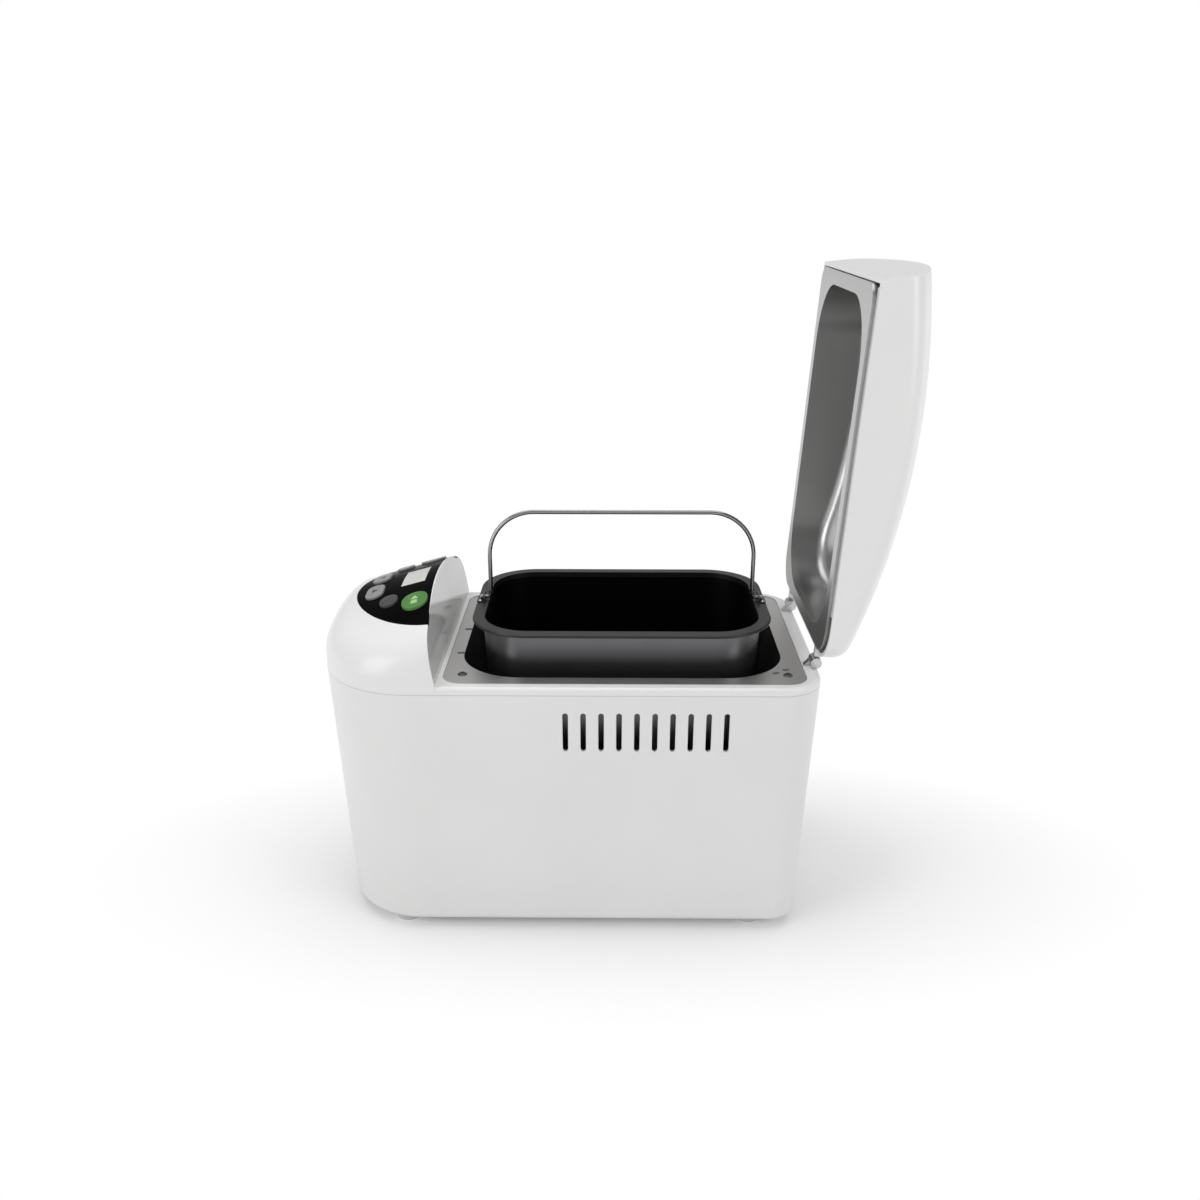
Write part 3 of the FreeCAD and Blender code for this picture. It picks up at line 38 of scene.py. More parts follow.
# Places and angles of the object that looks and small pieces follow, in millimetres and radians.
MM = 0.001
OVEN_X = 4.76
SEAM_Z = 200.0
PAN_RIM = 234.0
CREST_X, CREST_Z = -132.24, 260.0
SLOPE = math.radians(15.6)
ARCH = 215.0
HINGE_X, HINGE_Z = 145.76, 210.0
LID_OPEN = math.radians(93.7)
LID_LEAN = -1 / math.tan(LID_OPEN)


# Shared effects, each a node group that puts out colour, roughness and height.
def new_group(name, inputs, outputs):
    group = bpy.data.node_groups.new(name, "ShaderNodeTree")
    for label, kind, value in inputs:
        socket = group.interface.new_socket(label, in_out="INPUT", socket_type=kind)
        socket.default_value = value
    for label, kind in outputs:
        group.interface.new_socket(label, in_out="OUTPUT", socket_type=kind)
    return group, group.nodes.new("NodeGroupInput"), group.nodes.new("NodeGroupOutput")


def wire(tree, start, end):
    tree.links.new(start, end)


def math_node(tree, operation, first, second):
    made = tree.nodes.new("ShaderNodeMath")
    made.operation = operation
    for socket, value in zip(made.inputs, (first, second)):
        if isinstance(value, (int, float)):
            socket.default_value = value
        else:
            wire(tree, value, socket)
    return made.outputs[0]


def noise(tree, vector, scale, detail=3.0, rough=0.55):
    made = tree.nodes.new("ShaderNodeTexNoise")
    made.inputs["Detail"].default_value = detail
    made.inputs["Roughness"].default_value = rough
    wire(tree, vector, made.inputs["Vector"])
    if isinstance(scale, (int, float)):
        made.inputs["Scale"].default_value = scale
    else:
        wire(tree, scale, made.inputs["Scale"])
    return made.outputs["Fac"]


def blend(tree, factor, first, second, kind="RGBA"):
    made = tree.nodes.new("ShaderNodeMix")
    made.data_type = kind
    slots = (6, 7, 2) if kind == "RGBA" else (2, 3, 0)
    for index, value in zip(slots[:2], (first, second)):
        if hasattr(value, "is_linked"):
            wire(tree, value, made.inputs[index])
        else:
            made.inputs[index].default_value = value
    wire(tree, factor, made.inputs[0])
    return made.outputs[slots[2]]


def spread(tree, value, low, high):
    made = tree.nodes.new("ShaderNodeMapRange")
    wire(tree, value, made.inputs["Value"])
    made.inputs["From Min"].default_value = low
    made.inputs["From Max"].default_value = high
    return made.outputs["Result"]


FLOAT = "NodeSocketFloat"
COLOUR = "NodeSocketColor"
SURFACE_IN = [
    ("Light Tone", COLOUR, (0.9, 0.9, 0.9, 1)), ("Dark Tone", COLOUR, (0.8, 0.8, 0.8, 1)),
    ("Smooth", FLOAT, 0.2), ("Rough", FLOAT, 0.4),
    ("Cloud Scale", FLOAT, 18.0), ("Grain Scale", FLOAT, 900.0),
]
SURFACE_OUT = [("Colour", COLOUR), ("Roughness", FLOAT), ("Height", FLOAT)]


def make_moulded():
    """Moulded plastic: faint clouds in tone, uneven gloss and a fine spark-eroded grain."""
    tree, given, out = new_group("moulded_skin", SURFACE_IN, SURFACE_OUT)
    place = tree.nodes.new("ShaderNodeTexCoord").outputs["Object"]
    cloud = spread(tree, noise(tree, place, given.outputs["Cloud Scale"]), 0.3, 0.7)
    grain = noise(tree, place, given.outputs["Grain Scale"], 2.0)
    tone = blend(tree, cloud, given.outputs["Dark Tone"], given.outputs["Light Tone"])
    wire(tree, tone, out.inputs["Colour"])
    finer = math_node(tree, "MULTIPLY", given.outputs["Cloud Scale"], 2.7)
    handled = spread(tree, noise(tree, place, finer), 0.3, 0.75)
    gloss = blend(tree, handled, given.outputs["Smooth"], given.outputs["Rough"], "FLOAT")
    wire(tree, gloss, out.inputs["Roughness"])
    wire(tree, grain, out.inputs["Height"])
    return tree


def make_brushed(name, stretch):
    """Sheet metal: long rolling streaks one way, with clouds and fine grain over them."""
    tree, given, out = new_group(name, SURFACE_IN, SURFACE_OUT)
    place = tree.nodes.new("ShaderNodeTexCoord").outputs["Object"]
    turn = tree.nodes.new("ShaderNodeMapping")
    turn.inputs["Scale"].default_value = stretch
    wire(tree, place, turn.inputs["Vector"])
    streak = noise(tree, turn.outputs["Vector"], given.outputs["Grain Scale"], 4.0, 0.65)
    cloud = noise(tree, place, given.outputs["Cloud Scale"])
    both = spread(tree, math_node(tree, "ADD", math_node(tree, "MULTIPLY", streak, 0.55),
                                  math_node(tree, "MULTIPLY", cloud, 0.45)), 0.32, 0.68)
    tone = blend(tree, both, given.outputs["Dark Tone"], given.outputs["Light Tone"])
    wire(tree, tone, out.inputs["Colour"])
    gloss = blend(tree, both, given.outputs["Rough"], given.outputs["Smooth"], "FLOAT")
    wire(tree, gloss, out.inputs["Roughness"])
    wire(tree, streak, out.inputs["Height"])
    return tree


MOULDED = make_moulded()
BRUSHED_LONG = make_brushed("brushed_along_x", (0.04, 1.0, 1.0))
BRUSHED_TALL = make_brushed("brushed_along_z", (1.0, 1.0, 0.04))
BRUSHED_ROUND = make_brushed("even_metal", (1.0, 1.0, 1.0))


BUMP_DEPTH = 0.0002


def finish(name, group, light, dark, smooth, rough, cloud, grain, bump, metallic=0.0, **sockets):
    """A material: one shared effect with its own values, feeding a Principled shader and its bump."""
    made = bpy.data.materials.new(name)
    made.use_nodes = True
    tree = made.node_tree
    shader = tree.nodes["Principled BSDF"]
    effect = tree.nodes.new("ShaderNodeGroup")
    effect.node_tree = group
    for label, value in (("Light Tone", (*light, 1)), ("Dark Tone", (*dark, 1)), ("Smooth", smooth),
                         ("Rough", rough), ("Cloud Scale", cloud), ("Grain Scale", grain)):
        effect.inputs[label].default_value = value
    relief = tree.nodes.new("ShaderNodeBump")
    relief.inputs["Strength"].default_value = bump
    relief.inputs["Distance"].default_value = BUMP_DEPTH
    wire(tree, effect.outputs["Height"], relief.inputs["Height"])
    wire(tree, effect.outputs["Colour"], shader.inputs["Base Color"])
    wire(tree, effect.outputs["Roughness"], shader.inputs["Roughness"])
    wire(tree, relief.outputs["Normal"], shader.inputs["Normal"])
    shader.inputs["Metallic"].default_value = metallic
    for label, value in sockets.items():
        shader.inputs[label.replace("_", " ")].default_value = value
    return made


def grey(level, warm=0.0):
    return (level + warm, level, level - warm)


LOOKS = {}


def look(name, *values, **sockets):
    LOOKS[name] = finish(name, *values, **sockets)


# Each look: its effect, light and dark tone, smooth and rough end of its gloss, cloud and grain scale,
# bump and metallic share.
look("housing_white", MOULDED, grey(0.83, 0.002), grey(0.80, 0.003), 0.30, 0.38, 9, 1400, 0.05)
look("cover_white", MOULDED, grey(0.84, 0.002), grey(0.82, 0.003), 0.28, 0.32, 9, 1400, 0.03,
     Coat_Weight=0.15, Coat_Roughness=0.2)
look("lid_white", MOULDED, grey(0.85, 0.002), grey(0.835, 0.003), 0.28, 0.32, 9, 1400, 0.03,
     Coat_Weight=0.15, Coat_Roughness=0.2)
look("base_white", MOULDED, grey(0.74), grey(0.68), 0.5, 0.62, 14, 1600, 0.12)
look("foot_rubber", MOULDED, grey(0.66), grey(0.58), 0.6, 0.8, 60, 2200, 0.25)
look("gland_black", MOULDED, grey(0.04), grey(0.025), 0.45, 0.6, 60, 2200, 0.2)
look("panel_black", MOULDED, grey(0.004), grey(0.002), 0.16, 0.24, 30, 1800, 0.02,
     Specular_IOR_Level=0.006)
look("window_clear", MOULDED, (0.70, 0.71, 0.68), (0.64, 0.66, 0.63), 0.10, 0.2, 60, 2500, 0.02)
look("display_grey", MOULDED, (0.5, 0.53, 0.5), (0.44, 0.48, 0.45), 0.3, 0.4, 60, 1500, 0.05)
look("board_green", MOULDED, (0.03, 0.16, 0.06), (0.02, 0.12, 0.045), 0.3, 0.45, 60, 1500, 0.1)
look("switch_black", MOULDED, grey(0.05), grey(0.03), 0.4, 0.55, 60, 1500, 0.1)
look("key_green", MOULDED, (0.08, 0.25, 0.05), (0.07, 0.21, 0.04), 0.24, 0.34, 90, 2600, 0.04,
     Specular_IOR_Level=0.3)
look("key_grey", MOULDED, grey(0.075), grey(0.06), 0.24, 0.34, 90, 2600, 0.04,
     Specular_IOR_Level=0.2)
look("key_light", MOULDED, grey(0.30), grey(0.26), 0.24, 0.34, 90, 2600, 0.04,
     Specular_IOR_Level=0.3)
look("deck_metal", BRUSHED_LONG, grey(0.64, 0.008), grey(0.58, 0.008),
     0.34, 0.44, 22, 1500, 0.05, 1.0)
look("chamber_metal", BRUSHED_TALL, grey(0.40, 0.004), grey(0.30, 0.004),
     0.3, 0.48, 22, 1500, 0.12, 1.0)
look("element_steel", BRUSHED_ROUND, grey(0.12, 0.004), grey(0.06, 0.004),
     0.4, 0.6, 80, 1500, 0.2, 0.7)
look("support_steel", BRUSHED_TALL, grey(0.5), grey(0.4), 0.3, 0.45, 60, 1500, 0.1, 1.0)
look("sensor_steel", BRUSHED_LONG, grey(0.56), grey(0.46), 0.25, 0.4, 60, 1500, 0.1, 1.0)
look("seat_metal", BRUSHED_ROUND, grey(0.5), grey(0.4), 0.4, 0.55, 40, 1200, 0.25, 1.0)
look("frame_steel", BRUSHED_LONG, grey(0.42), grey(0.34), 0.35, 0.5, 30, 1200, 0.1, 1.0)
look("bearing_metal", BRUSHED_ROUND, grey(0.26), grey(0.2), 0.5, 0.65, 60, 900, 0.35, 1.0)
look("shaft_steel", BRUSHED_ROUND, grey(0.6), grey(0.5), 0.2, 0.32, 60, 1500, 0.08, 1.0)
look("pulley_plastic", MOULDED, grey(0.7), grey(0.62), 0.4, 0.55, 40, 1500, 0.1)
look("motor_metal", BRUSHED_TALL, grey(0.25), grey(0.18), 0.4, 0.55, 40, 1500, 0.15, 0.8)
look("belt_rubber", MOULDED, grey(0.03), grey(0.02), 0.6, 0.8, 80, 2000, 0.3)
look("coupling_metal", BRUSHED_ROUND, grey(0.5), grey(0.42), 0.3, 0.45, 60, 1200, 0.2, 1.0)
look("capacitor_plastic", MOULDED, (0.08, 0.1, 0.22), (0.06, 0.075, 0.17), 0.35, 0.5, 50, 1500, 0.1)
look("pan_dark", MOULDED, grey(0.11), grey(0.09), 0.26, 0.32, 40, 2600, 0.03, 0.9)
look("pan_base_metal", BRUSHED_ROUND, grey(0.42), grey(0.34), 0.35, 0.5, 60, 1200, 0.25, 1.0)
look("bushing_metal", BRUSHED_ROUND, (0.6, 0.47, 0.25), (0.5, 0.38, 0.19),
     0.25, 0.4, 90, 1500, 0.1, 1.0)
look("paddle_dark", MOULDED, grey(0.045), grey(0.03), 0.25, 0.36, 60, 2600, 0.08, 0.5)
look("handle_chrome", BRUSHED_ROUND, grey(0.33), grey(0.30), 0.20, 0.26, 60, 400, 0.003, 1.0)
look("liner_metal", BRUSHED_TALL, grey(0.33, 0.004), grey(0.30, 0.004),
     0.42, 0.48, 22, 1500, 0.02, 1.0)
look("hinge_steel", BRUSHED_ROUND, grey(0.6), grey(0.5), 0.22, 0.36, 60, 1500, 0.08, 1.0)


def feed(material, label):
    """The output that now feeds a socket of the material's shader."""
    return material.node_tree.nodes["Principled BSDF"].inputs[label].links[0].from_socket


def place_of(tree):
    parts = tree.nodes.new("ShaderNodeSeparateXYZ")
    wire(tree, tree.nodes.new("ShaderNodeTexCoord").outputs["Object"], parts.inputs["Vector"])
    return parts.outputs


def facing_of(tree):
    parts = tree.nodes.new("ShaderNodeSeparateXYZ")
    wire(tree, tree.nodes.new("ShaderNodeTexCoord").outputs["Normal"], parts.inputs["Vector"])
    return parts.outputs


def tint(material, mask, colour, roughness=None, metallic=None):
    """Blend a second colour, and a second gloss if given, into a material where the mask is 1."""
    tree = material.node_tree
    shader = tree.nodes["Principled BSDF"]
    base = feed(material, "Base Color")
    wire(tree, blend(tree, mask, base, (*colour, 1)), shader.inputs["Base Color"])
    if roughness is not None:
        gloss = blend(tree, mask, feed(material, "Roughness"), roughness, "FLOAT")
        wire(tree, gloss, shader.inputs["Roughness"])
    if metallic is not None:
        wire(tree, blend(tree, mask, shader.inputs["Metallic"].default_value, metallic, "FLOAT"),
             shader.inputs["Metallic"])


def polish_flank_paint_shade_and_reflection(material):
    """The cover's wall beside the oven is polished, and tinted grey there as painted shade and a
    painted reflection of the deck.
    """
    tree = material.node_tree
    place, face = place_of(tree), facing_of(tree)
    turned = spread(tree, face["X"], 0.93, 0.975)
    above = math_node(tree, "GREATER_THAN", place["Z"], (SEAM_Z + 6) * MM)
    # The grey is painted shade and a painted reflection of the deck on the white plastic; the low
    # roughness is real polish.
    tint(material, math_node(tree, "MULTIPLY", turned, above), grey(0.56, 0.004), 0.07)


def band(tree, value, middle, half):
    """1 within a distance of a middle value, falling to 0 at twice that distance."""
    off = math_node(tree, "ABSOLUTE", math_node(tree, "SUBTRACT", value, middle * MM), 0.0)
    return spread(tree, off, 2 * half * MM, half * MM)


def mark_seam(material):
    """A fine shadow line where the cover meets the housing."""
    tree = material.node_tree
    tint(material, band(tree, place_of(tree)["Z"], SEAM_Z, 0.2), grey(0.58))


def coat_pan(material):
    """The pan is bright outside, dark non-stick inside, and satin on its rolled rim."""
    tree = material.node_tree
    place, face = place_of(tree), facing_of(tree)
    off_middle = math_node(tree, "SUBTRACT", place["X"], OVEN_X * MM)
    along = math_node(tree, "MULTIPLY", face["X"], off_middle)
    inward = math_node(tree, "ADD", along, math_node(tree, "MULTIPLY", face["Y"], place["Y"]))
    walls = math_node(tree, "LESS_THAN", inward, -0.002)
    level = math_node(tree, "GREATER_THAN", face["Z"], 0.5)
    low = math_node(tree, "LESS_THAN", place["Z"], (PAN_RIM - 4) * MM)
    inside = math_node(tree, "MAXIMUM", walls, math_node(tree, "MULTIPLY", level, low))
    rim = math_node(tree, "GREATER_THAN", place["Z"], (PAN_RIM - 3) * MM)
    tint(material, rim, grey(0.03), 0.34, 0.4)
    tint(material, inside, grey(0.006), 0.42)


def tone_liner(material):
    """The liner is polished all over, but for the strip of its flange beside the hinge."""
    tree = material.node_tree
    place = place_of(tree)
    above_hinge = math_node(tree, "SUBTRACT", place["Z"], HINGE_Z * MM)
    behind_hinge = math_node(tree, "SUBTRACT", place["X"], HINGE_X * MM)
    leaning = math_node(tree, "MULTIPLY", above_hinge, LID_LEAN)
    off_hinge = math_node(tree, "ADD", behind_hinge, leaning)
    tint(material, spread(tree, off_hinge, 3 * MM, 7 * MM), grey(0.46, 0.002), 0.30)


mark_seam(LOOKS["housing_white"])
mark_seam(LOOKS["cover_white"])
# The flank's grey tint is painted shade and a painted reflection of the deck.
polish_flank_paint_shade_and_reflection(LOOKS["cover_white"])
look("pan_coat", MOULDED, (0.165, 0.165, 0.174), (0.15, 0.15, 0.157),
     0.30, 0.34, 9, 2600, 0.004, 0.92)
coat_pan(LOOKS["pan_coat"])
tone_liner(LOOKS["liner_metal"])
look("sign_green", MOULDED, (0.40, 0.62, 0.28), (0.35, 0.56, 0.24), 0.3, 0.4, 90, 2600, 0.04)
look("sign_dark", MOULDED, grey(0.05), grey(0.04), 0.3, 0.4, 90, 2600, 0.04)
look("screw_dark", BRUSHED_ROUND, grey(0.16), grey(0.12), 0.4, 0.5, 90, 1500, 0.05, 1.0)
look("seal_grey", MOULDED, grey(0.62), grey(0.56), 0.5, 0.6, 60, 2000, 0.08)
# Dark bars on the deck: painted shade standing for the openings of its slots.
look("slot_painted_shade", MOULDED, grey(0.14), grey(0.11), 0.5, 0.6, 90, 1500, 0.1)
PAINTED_APART = {
    "bread_pan": "pan_coat", "menu_button": "key_light", "colour_button": "key_light",
}
for row in frame["record"]["subparts"]:
    piece = nodes[row["node"]]
    piece.data.materials.clear()
    piece.data.materials.append(LOOKS[PAINTED_APART.get(row["node"], row["material_slot"])])


# Repeated small pieces, grown by node trees on named spots and turned into plain meshes.
def node_tree(name, inputs):
    tree = bpy.data.node_groups.new(name, "GeometryNodeTree")
    tree.interface.new_socket("Geometry", in_out="INPUT", socket_type="NodeSocketGeometry")
    for label, kind, value in inputs:
        tree.interface.new_socket(label, in_out="INPUT", socket_type=kind).default_value = value
    tree.interface.new_socket("Geometry", in_out="OUTPUT", socket_type="NodeSocketGeometry")
    return tree, tree.nodes.new("NodeGroupInput"), tree.nodes.new("NodeGroupOutput")


def placed(tree, geometry, offset=None, size=None, turn=None):
    made = tree.nodes.new("GeometryNodeTransform")
    wire(tree, geometry, made.inputs["Geometry"])
    for label, value in (("Translation", offset), ("Scale", size), ("Rotation", turn)):
        if value is None:
            continue
        if isinstance(value, tuple):
            made.inputs[label].default_value = value
        else:
            wire(tree, value, made.inputs[label])
    return made.outputs["Geometry"]


def along_z(tree, value):
    made = tree.nodes.new("ShaderNodeCombineXYZ")
    wire(tree, value, made.inputs["Z"])
    return made.outputs["Vector"]


def end_tree(tree, given, out, shape):
    """Set the shape on every spot, turned by Turn, then realise it and give it the material."""
    fill = tree.nodes.new("GeometryNodeInstanceOnPoints")
    wire(tree, given.outputs["Geometry"], fill.inputs["Points"])
    wire(tree, shape, fill.inputs["Instance"])
    turn = tree.nodes.new("FunctionNodeEulerToRotation")
    wire(tree, given.outputs["Turn"], turn.inputs["Euler"])
    wire(tree, turn.outputs["Rotation"], fill.inputs["Rotation"])
    real = tree.nodes.new("GeometryNodeRealizeInstances")
    wire(tree, fill.outputs["Instances"], real.inputs["Geometry"])
    paint = tree.nodes.new("GeometryNodeSetMaterial")
    wire(tree, real.outputs["Geometry"], paint.inputs["Geometry"])
    wire(tree, given.outputs["Material"], paint.inputs["Material"])
    wire(tree, paint.outputs["Geometry"], out.inputs["Geometry"])


SPOT_IN = [
    ("Radius", FLOAT, 0.003), ("Height", FLOAT, 0.0015),
    ("Turn", "NodeSocketVector", (0, 0, 0)), ("Material", "NodeSocketMaterial", None),
]


def make_screw_tree():
    """A pan-head screw with a crossed recess."""
    tree, given, out = node_tree("screw_heads", SPOT_IN)
    head = tree.nodes.new("GeometryNodeMeshCone")
    head.inputs["Vertices"].default_value = 28
    crown = math_node(tree, "MULTIPLY", given.outputs["Radius"], 0.72)
    wire(tree, crown, head.inputs["Radius Top"])
    wire(tree, given.outputs["Radius"], head.inputs["Radius Bottom"])
    wire(tree, given.outputs["Height"], head.inputs["Depth"])
    slots = []
    for turn in (0.0, math.pi / 2):
        bar = tree.nodes.new("GeometryNodeMeshCube")
        size = tree.nodes.new("ShaderNodeCombineXYZ")
        wire(tree, math_node(tree, "MULTIPLY", given.outputs["Radius"], 1.1), size.inputs["X"])
        wire(tree, math_node(tree, "MULTIPLY", given.outputs["Radius"], 0.22), size.inputs["Y"])
        wire(tree, given.outputs["Height"], size.inputs["Z"])
        wire(tree, size.outputs["Vector"], bar.inputs["Size"])
        lift = along_z(tree, given.outputs["Height"])
        slots.append(placed(tree, bar.outputs["Mesh"], lift, turn=(0, 0, turn)))
    bite = tree.nodes.new("GeometryNodeMeshBoolean")
    bite.operation = "DIFFERENCE"
    wire(tree, head.outputs["Mesh"], bite.inputs["Mesh 1"])
    for slot in slots:
        wire(tree, slot, bite.inputs["Mesh 2"])
    end_tree(tree, given, out, bite.outputs["Mesh"])
    return tree


def make_rivet_tree():
    """A low domed rivet head."""
    tree, given, out = node_tree("rivet_heads", SPOT_IN)
    ball = tree.nodes.new("GeometryNodeMeshUVSphere")
    ball.inputs["Segments"].default_value = 20
    ball.inputs["Rings"].default_value = 10
    ball.inputs["Radius"].default_value = 1.0
    size = tree.nodes.new("ShaderNodeCombineXYZ")
    for axis, label in (("X", "Radius"), ("Y", "Radius"), ("Z", "Height")):
        wire(tree, given.outputs[label], size.inputs[axis])
    end_tree(tree, given, out, placed(tree, ball.outputs["Mesh"], size=size.outputs["Vector"]))
    return tree


def make_slot_tree():
    """A short bar with round ends, its length nearly twice its width."""
    tree, given, out = node_tree("slot_bars", SPOT_IN)
    bar = tree.nodes.new("GeometryNodeMeshCylinder")
    bar.inputs["Vertices"].default_value = 24
    bar.inputs["Radius"].default_value = 1.0
    bar.inputs["Depth"].default_value = 1.0
    spot = tree.nodes.new("GeometryNodeInputPosition")
    split = tree.nodes.new("ShaderNodeSeparateXYZ")
    wire(tree, spot.outputs["Position"], split.inputs["Vector"])
    side = math_node(tree, "MULTIPLY", math_node(tree, "SIGN", split.outputs["X"], 0.0), 0.8)
    shift = tree.nodes.new("ShaderNodeCombineXYZ")
    wire(tree, side, shift.inputs["X"])
    pull = tree.nodes.new("GeometryNodeSetPosition")
    wire(tree, bar.outputs["Mesh"], pull.inputs["Geometry"])
    wire(tree, shift.outputs["Vector"], pull.inputs["Offset"])
    size = tree.nodes.new("ShaderNodeCombineXYZ")
    for axis, label in (("X", "Radius"), ("Y", "Radius"), ("Z", "Height")):
        wire(tree, given.outputs[label], size.inputs[axis])
    end_tree(tree, given, out, placed(tree, pull.outputs["Geometry"], size=size.outputs["Vector"]))
    return tree


SCREWS = make_screw_tree()
SLOTS = make_slot_tree()
RIVETS = make_rivet_tree()


def grown(name, tree, spots, look, body, radius, height, turn=(0, 0, 0)):
    """Run a tree on the spots and keep the result as a plain mesh that rides on a body."""
    seed = bpy.data.meshes.new(name + "_spots")
    seed.from_pydata([Vector(spot) * MM for spot in spots], [], [])
    holder = bpy.data.objects.new(name + "_spots", seed)
    bpy.context.scene.collection.objects.link(holder)
    made = holder.modifiers.new("grow", "NODES")
    made.node_group = tree
    given = {"Radius": radius * MM, "Height": height * MM, "Turn": turn, "Material": LOOKS[look]}
    for item in tree.interface.items_tree:
        if item.in_out == "INPUT" and item.name in given:
            made[item.identifier] = given[item.name]
    bpy.context.view_layer.update()
    state = bpy.context.evaluated_depsgraph_get()
    solid = bpy.data.meshes.new_from_object(holder.evaluated_get(state))
    bpy.data.objects.remove(holder)
    piece = bpy.data.objects.new(name, solid)
    bpy.context.scene.collection.objects.link(piece)
    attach(piece, body)


DECK_TOP = 205.0
DECK_FRONT, DECK_REAR, DECK_SIDE = -110.0, 124.0, 76.0
deck_corners = [(x, y, DECK_TOP) for x in (DECK_FRONT, DECK_REAR) for y in (-DECK_SIDE, DECK_SIDE)]
grown("deck_screws", SCREWS, deck_corners, "screw_dark", "machine", 3.6, 1.0)
# Dark bars at both ends of the deck: painted shade standing for slot openings.
REAR_TABS = ((124.0, 66.0), (116.0, 72.0))
REAR_TAB_TURN = (0, 0, 0.3)
rear_tabs = [(x, side * y, DECK_TOP) for x, y in REAR_TABS for side in (-1, 1)]
grown("deck_rear_slot_shades", SLOTS, rear_tabs, "slot_painted_shade", "machine", 1.5, 0.3, REAR_TAB_TURN)
FLANK_TAB_X, FLANK_TAB_Y = -116.0, (-36.0, 13.0)
flank_tabs = [(FLANK_TAB_X, y, DECK_TOP) for y in FLANK_TAB_Y]
grown("deck_flank_slot_shades", SLOTS, flank_tabs, "slot_painted_shade", "machine", 1.6, 0.3)
BASE_LOW = 4.8
BASE_SCREW_X, BASE_SCREW_Y = (-185.0, -40.0, 118.0), (-52.0, 52.0)
UPSIDE_DOWN = (math.pi, 0, 0)
base_spots = [(x, y, BASE_LOW) for x in BASE_SCREW_X for y in BASE_SCREW_Y]
grown("base_screws", SCREWS, base_spots, "shaft_steel", "machine", 3.6, 1.6, UPSIDE_DOWN)
EAR_FOOT_REACH, EAR_FOOT_TOP, EAR_RIVET_Y = 108.7, 235.8, (-4.5, 4.5)
ear_feet = [OVEN_X + side * EAR_FOOT_REACH for side in (-1, 1)]
ear_spots = [(x, y, EAR_FOOT_TOP) for x in ear_feet for y in EAR_RIVET_Y]
grown("ear_rivets", RIVETS, ear_spots, "shaft_steel", "pan", 1.5, 0.7)


def prism(name, rings, look, body):
    """Closed prisms between pairs of matching outlines, lower and upper, in millimetres."""
    spots, faces = [], []
    for low, high in rings:
        first, count = len(spots), len(low)
        spots += [Vector(spot) * MM for spot in (*low, *high)]
        faces.append([first + index for index in reversed(range(count))])
        faces.append([first + count + index for index in range(count)])
        for index in range(count):
            after = (index + 1) % count
            faces.append([first + index, first + after,
                          first + count + after, first + count + index])
    mesh = bpy.data.meshes.new(name)
    mesh.from_pydata(spots, [], faces)
    mesh.materials.append(LOOKS[look])
    piece = bpy.data.objects.new(name, mesh)
    bpy.context.scene.collection.objects.link(piece)
    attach(piece, body)


def on_console(x, y, lift):
    """A point over the console's arch: x up its slope, y across, lift square to the surface."""
    height = math.sqrt((ARCH + lift) ** 2 - y * y) - ARCH
    return (CREST_X + x * math.cos(SLOPE) - height * math.sin(SLOPE), y,
            CREST_Z + x * math.sin(SLOPE) + height * math.cos(SLOPE))


SIGN_LEVELS = (1.5, 1.66)


def console_sign(name, outlines, middle, look, body):
    """Flat signs printed on a key's cap, drawn about a middle point."""
    rings = []
    for shape in outlines:
        spots = [(middle[0] + x, middle[1] + y) for x, y in shape]
        rings.append([[on_console(x, y, level) for x, y in spots] for level in SIGN_LEVELS])
    prism(name, rings, look, body)


GO_SIGN = [[(-3.2, 0.7), (3.2, 0.7), (0.0, 5.4)],
           [(-2.4, -5.0), (2.4, -5.0), (2.4, -0.8), (-2.4, -0.8)]]
UP_SIGN = [[(-2.2, -3.6), (2.6, 0.0), (-2.2, 3.6)]]
DOWN_SIGN = [[(2.2, 3.6), (-2.6, 0.0), (2.2, -3.6)]]
START_KEY, UP_KEY, DOWN_KEY = (-16.2, -47.8), (-51.5, -15.8), (-51.5, 15.8)
console_sign("start_sign", GO_SIGN, START_KEY, "sign_green", "start_key")
console_sign("timer_up_sign", UP_SIGN, UP_KEY, "sign_dark", "timer_up_key")
console_sign("timer_down_sign", DOWN_SIGN, DOWN_KEY, "sign_dark", "timer_down_key")


def on_lid(x, y, z):
    """Where a point of the lid is when open, given from the hinge axis with the lid closed."""
    cosine, sine = math.cos(LID_OPEN), math.sin(LID_OPEN)
    return (HINGE_X + x * cosine + z * sine, y, HINGE_Z - x * sine + z * cosine)


SEAL_ENDS = (-266.0, -46.0)
SEAL_LEVELS = (-0.3, 1.6)
SEAL_SIDES = (91.15, 95.9)
seal_rings = []
for side in (-1, 1):
    reach = sorted(side * y for y in SEAL_SIDES)
    outline = [(SEAL_ENDS[0], reach[0]), (SEAL_ENDS[1], reach[0]), (SEAL_ENDS[1], reach[1]),
               (SEAL_ENDS[0], reach[1])]
    seal_rings.append([[on_lid(x, y, level) for x, y in outline] for level in SEAL_LEVELS])
prism("lid_seals", seal_rings, "seal_grey", "lid")

# Studio: pale floor, soft lamps and the camera at the photograph's angle.
LAMP_AIM = (0, 0, 0.2)
FILL_SIZE = (0.9, 1.3)


def lamp(name, place, size, power):
    made = bpy.data.lights.new(name, "AREA")
    made.shape = "RECTANGLE"
    made.size, made.size_y = size
    made.energy = power
    thing = bpy.data.objects.new(name, made)
    bpy.context.scene.collection.objects.link(thing)
    thing.location = place
    thing.rotation_euler = (Vector(LAMP_AIM) - Vector(place)).to_track_quat("-Z", "Y").to_euler()


lamp("overhead", (0.0, 0.3, 1.9), (2.2, 1.8), 18)
lamp("left_fill", (-1.5, -1.1, 0.8), FILL_SIZE, 11)
lamp("right_fill", (1.6, -1.1, 0.8), FILL_SIZE, 10)

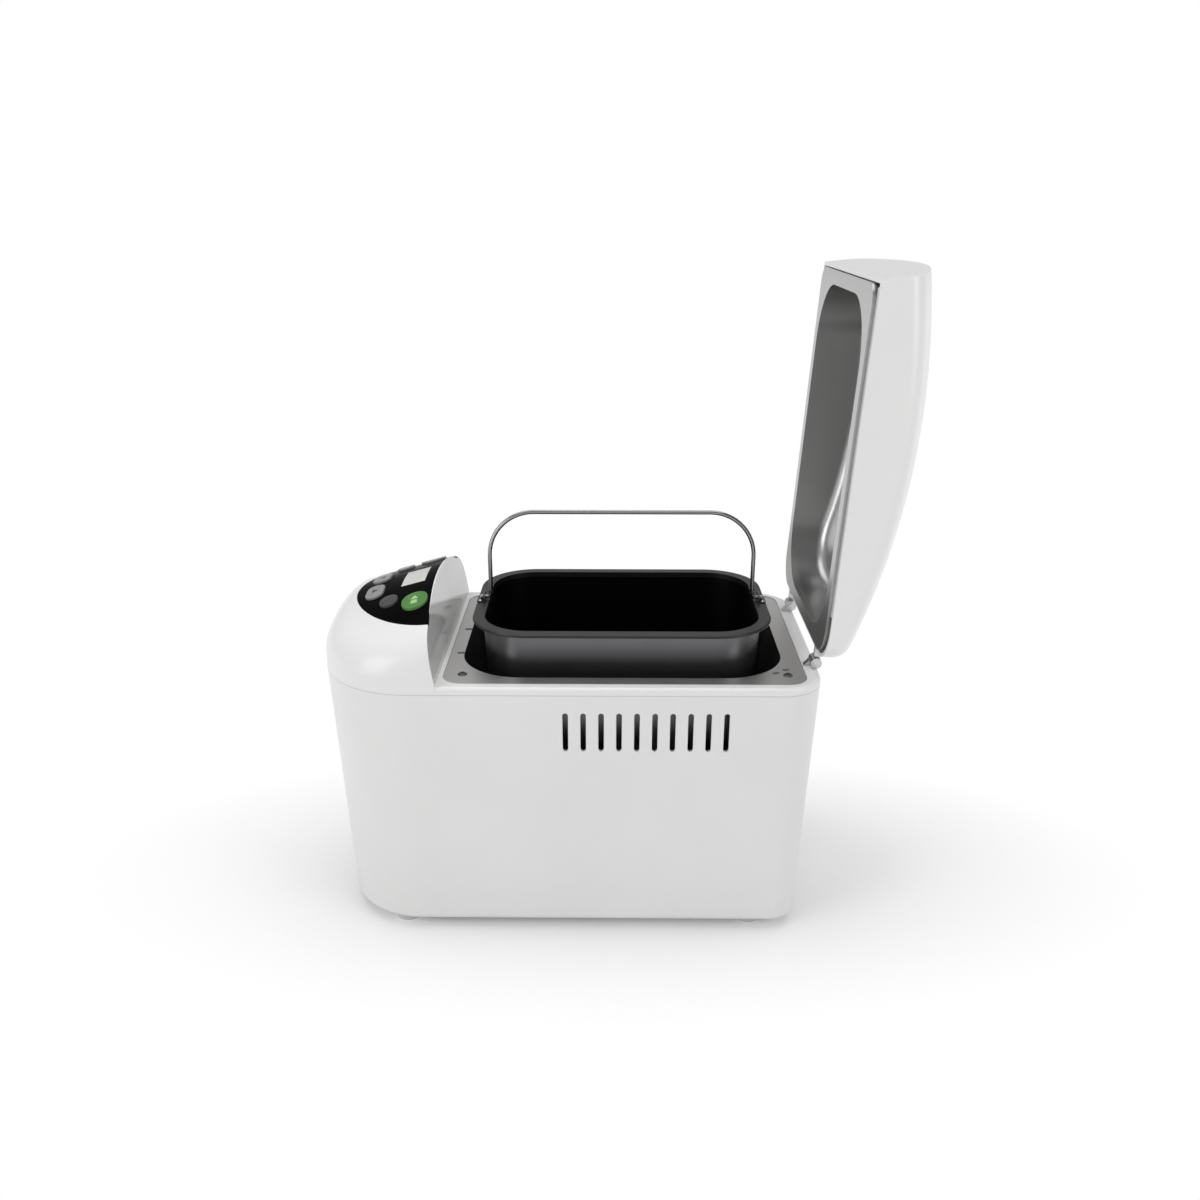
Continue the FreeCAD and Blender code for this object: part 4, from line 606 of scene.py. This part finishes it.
MIRRORED, AMBIENT = 0.45, 0.42
world = bpy.data.worlds.new("studio")
bpy.context.scene.world = world
world.use_nodes = True
tree = world.node_tree
shine = tree.nodes["Background"]
shine.inputs["Color"].default_value = (1, 1, 1, 1)
path = tree.nodes.new("ShaderNodeLightPath")
mirrored = math_node(tree, "MULTIPLY", path.outputs["Is Glossy Ray"], MIRRORED)
seen = math_node(tree, "MAXIMUM", path.outputs["Is Camera Ray"], path.outputs["Is Transmission Ray"])
seen = math_node(tree, "MAXIMUM", seen, mirrored)
wire(tree, math_node(tree, "MAXIMUM", seen, AMBIENT), shine.inputs["Strength"])

# The floor keeps the shadow near the object and fades to white, as an ellipse, further out.
FLOOR_REACH = 40.0
FLOOR_SQUEEZE = (0.45, 1.0, 1.0)
FADE_START, FADE_END = 0.10, 0.20
FLOOR_GLOW = 0.08
mesh = bpy.data.meshes.new("floor")
floor_spots = [(x * FLOOR_REACH, y * FLOOR_REACH, 0) for x, y in ((-1, -1), (1, -1), (1, 1), (-1, 1))]
mesh.from_pydata(floor_spots, [], [(0, 1, 2, 3)])
floor = bpy.data.objects.new("floor", mesh)
bpy.context.scene.collection.objects.link(floor)
floor_look = finish("floor_white", MOULDED, grey(0.92), grey(0.91), 0.14, 0.20, 3, 300, 0.0)
floor.data.materials.append(floor_look)
tree = floor_look.node_tree
squeeze = tree.nodes.new("ShaderNodeMapping")
squeeze.inputs["Scale"].default_value = FLOOR_SQUEEZE
wire(tree, tree.nodes.new("ShaderNodeTexCoord").outputs["Object"], squeeze.inputs["Vector"])
away = tree.nodes.new("ShaderNodeVectorMath")
away.operation = "LENGTH"
wire(tree, squeeze.outputs["Vector"], away.inputs[0])
fade = spread(tree, away.outputs["Value"], FADE_START, FADE_END)
white = tree.nodes.new("ShaderNodeEmission")
white.inputs["Color"].default_value = (1, 1, 1, 1)
path = tree.nodes.new("ShaderNodeLightPath")
glow = tree.nodes.new("ShaderNodeEmission")
glow.inputs["Color"].default_value = (1, 1, 1, 1)
glowing = math_node(tree, "MULTIPLY", path.outputs["Is Camera Ray"], FLOOR_GLOW)
wire(tree, glowing, glow.inputs["Strength"])
lit = tree.nodes.new("ShaderNodeAddShader")
wire(tree, tree.nodes["Principled BSDF"].outputs[0], lit.inputs[0])
wire(tree, glow.outputs[0], lit.inputs[1])
seen = math_node(tree, "MAXIMUM", path.outputs["Is Camera Ray"], path.outputs["Is Transmission Ray"])
seen = math_node(tree, "MAXIMUM", seen, path.outputs["Is Glossy Ray"])
both = tree.nodes.new("ShaderNodeMixShader")
wire(tree, math_node(tree, "MULTIPLY", seen, fade), both.inputs[0])
wire(tree, lit.outputs[0], both.inputs[1])
wire(tree, white.outputs[0], both.inputs[2])
wire(tree, both.outputs[0], tree.nodes["Material Output"].inputs["Surface"])

EYE = (-0.00367, -0.81865, 0.53037)
EYE_PITCH, EYE_YAW = math.radians(70.14), math.radians(0.56)
camera = bpy.data.cameras.new("camera")
camera.sensor_width = 36.0
camera.lens = 33.754
eye = bpy.data.objects.new("camera", camera)
bpy.context.scene.collection.objects.link(eye)
eye.location = EYE
eye.rotation_euler = (EYE_PITCH, 0, EYE_YAW)
bpy.context.scene.camera = eye
bpy.context.scene.view_settings.view_transform = "Standard"
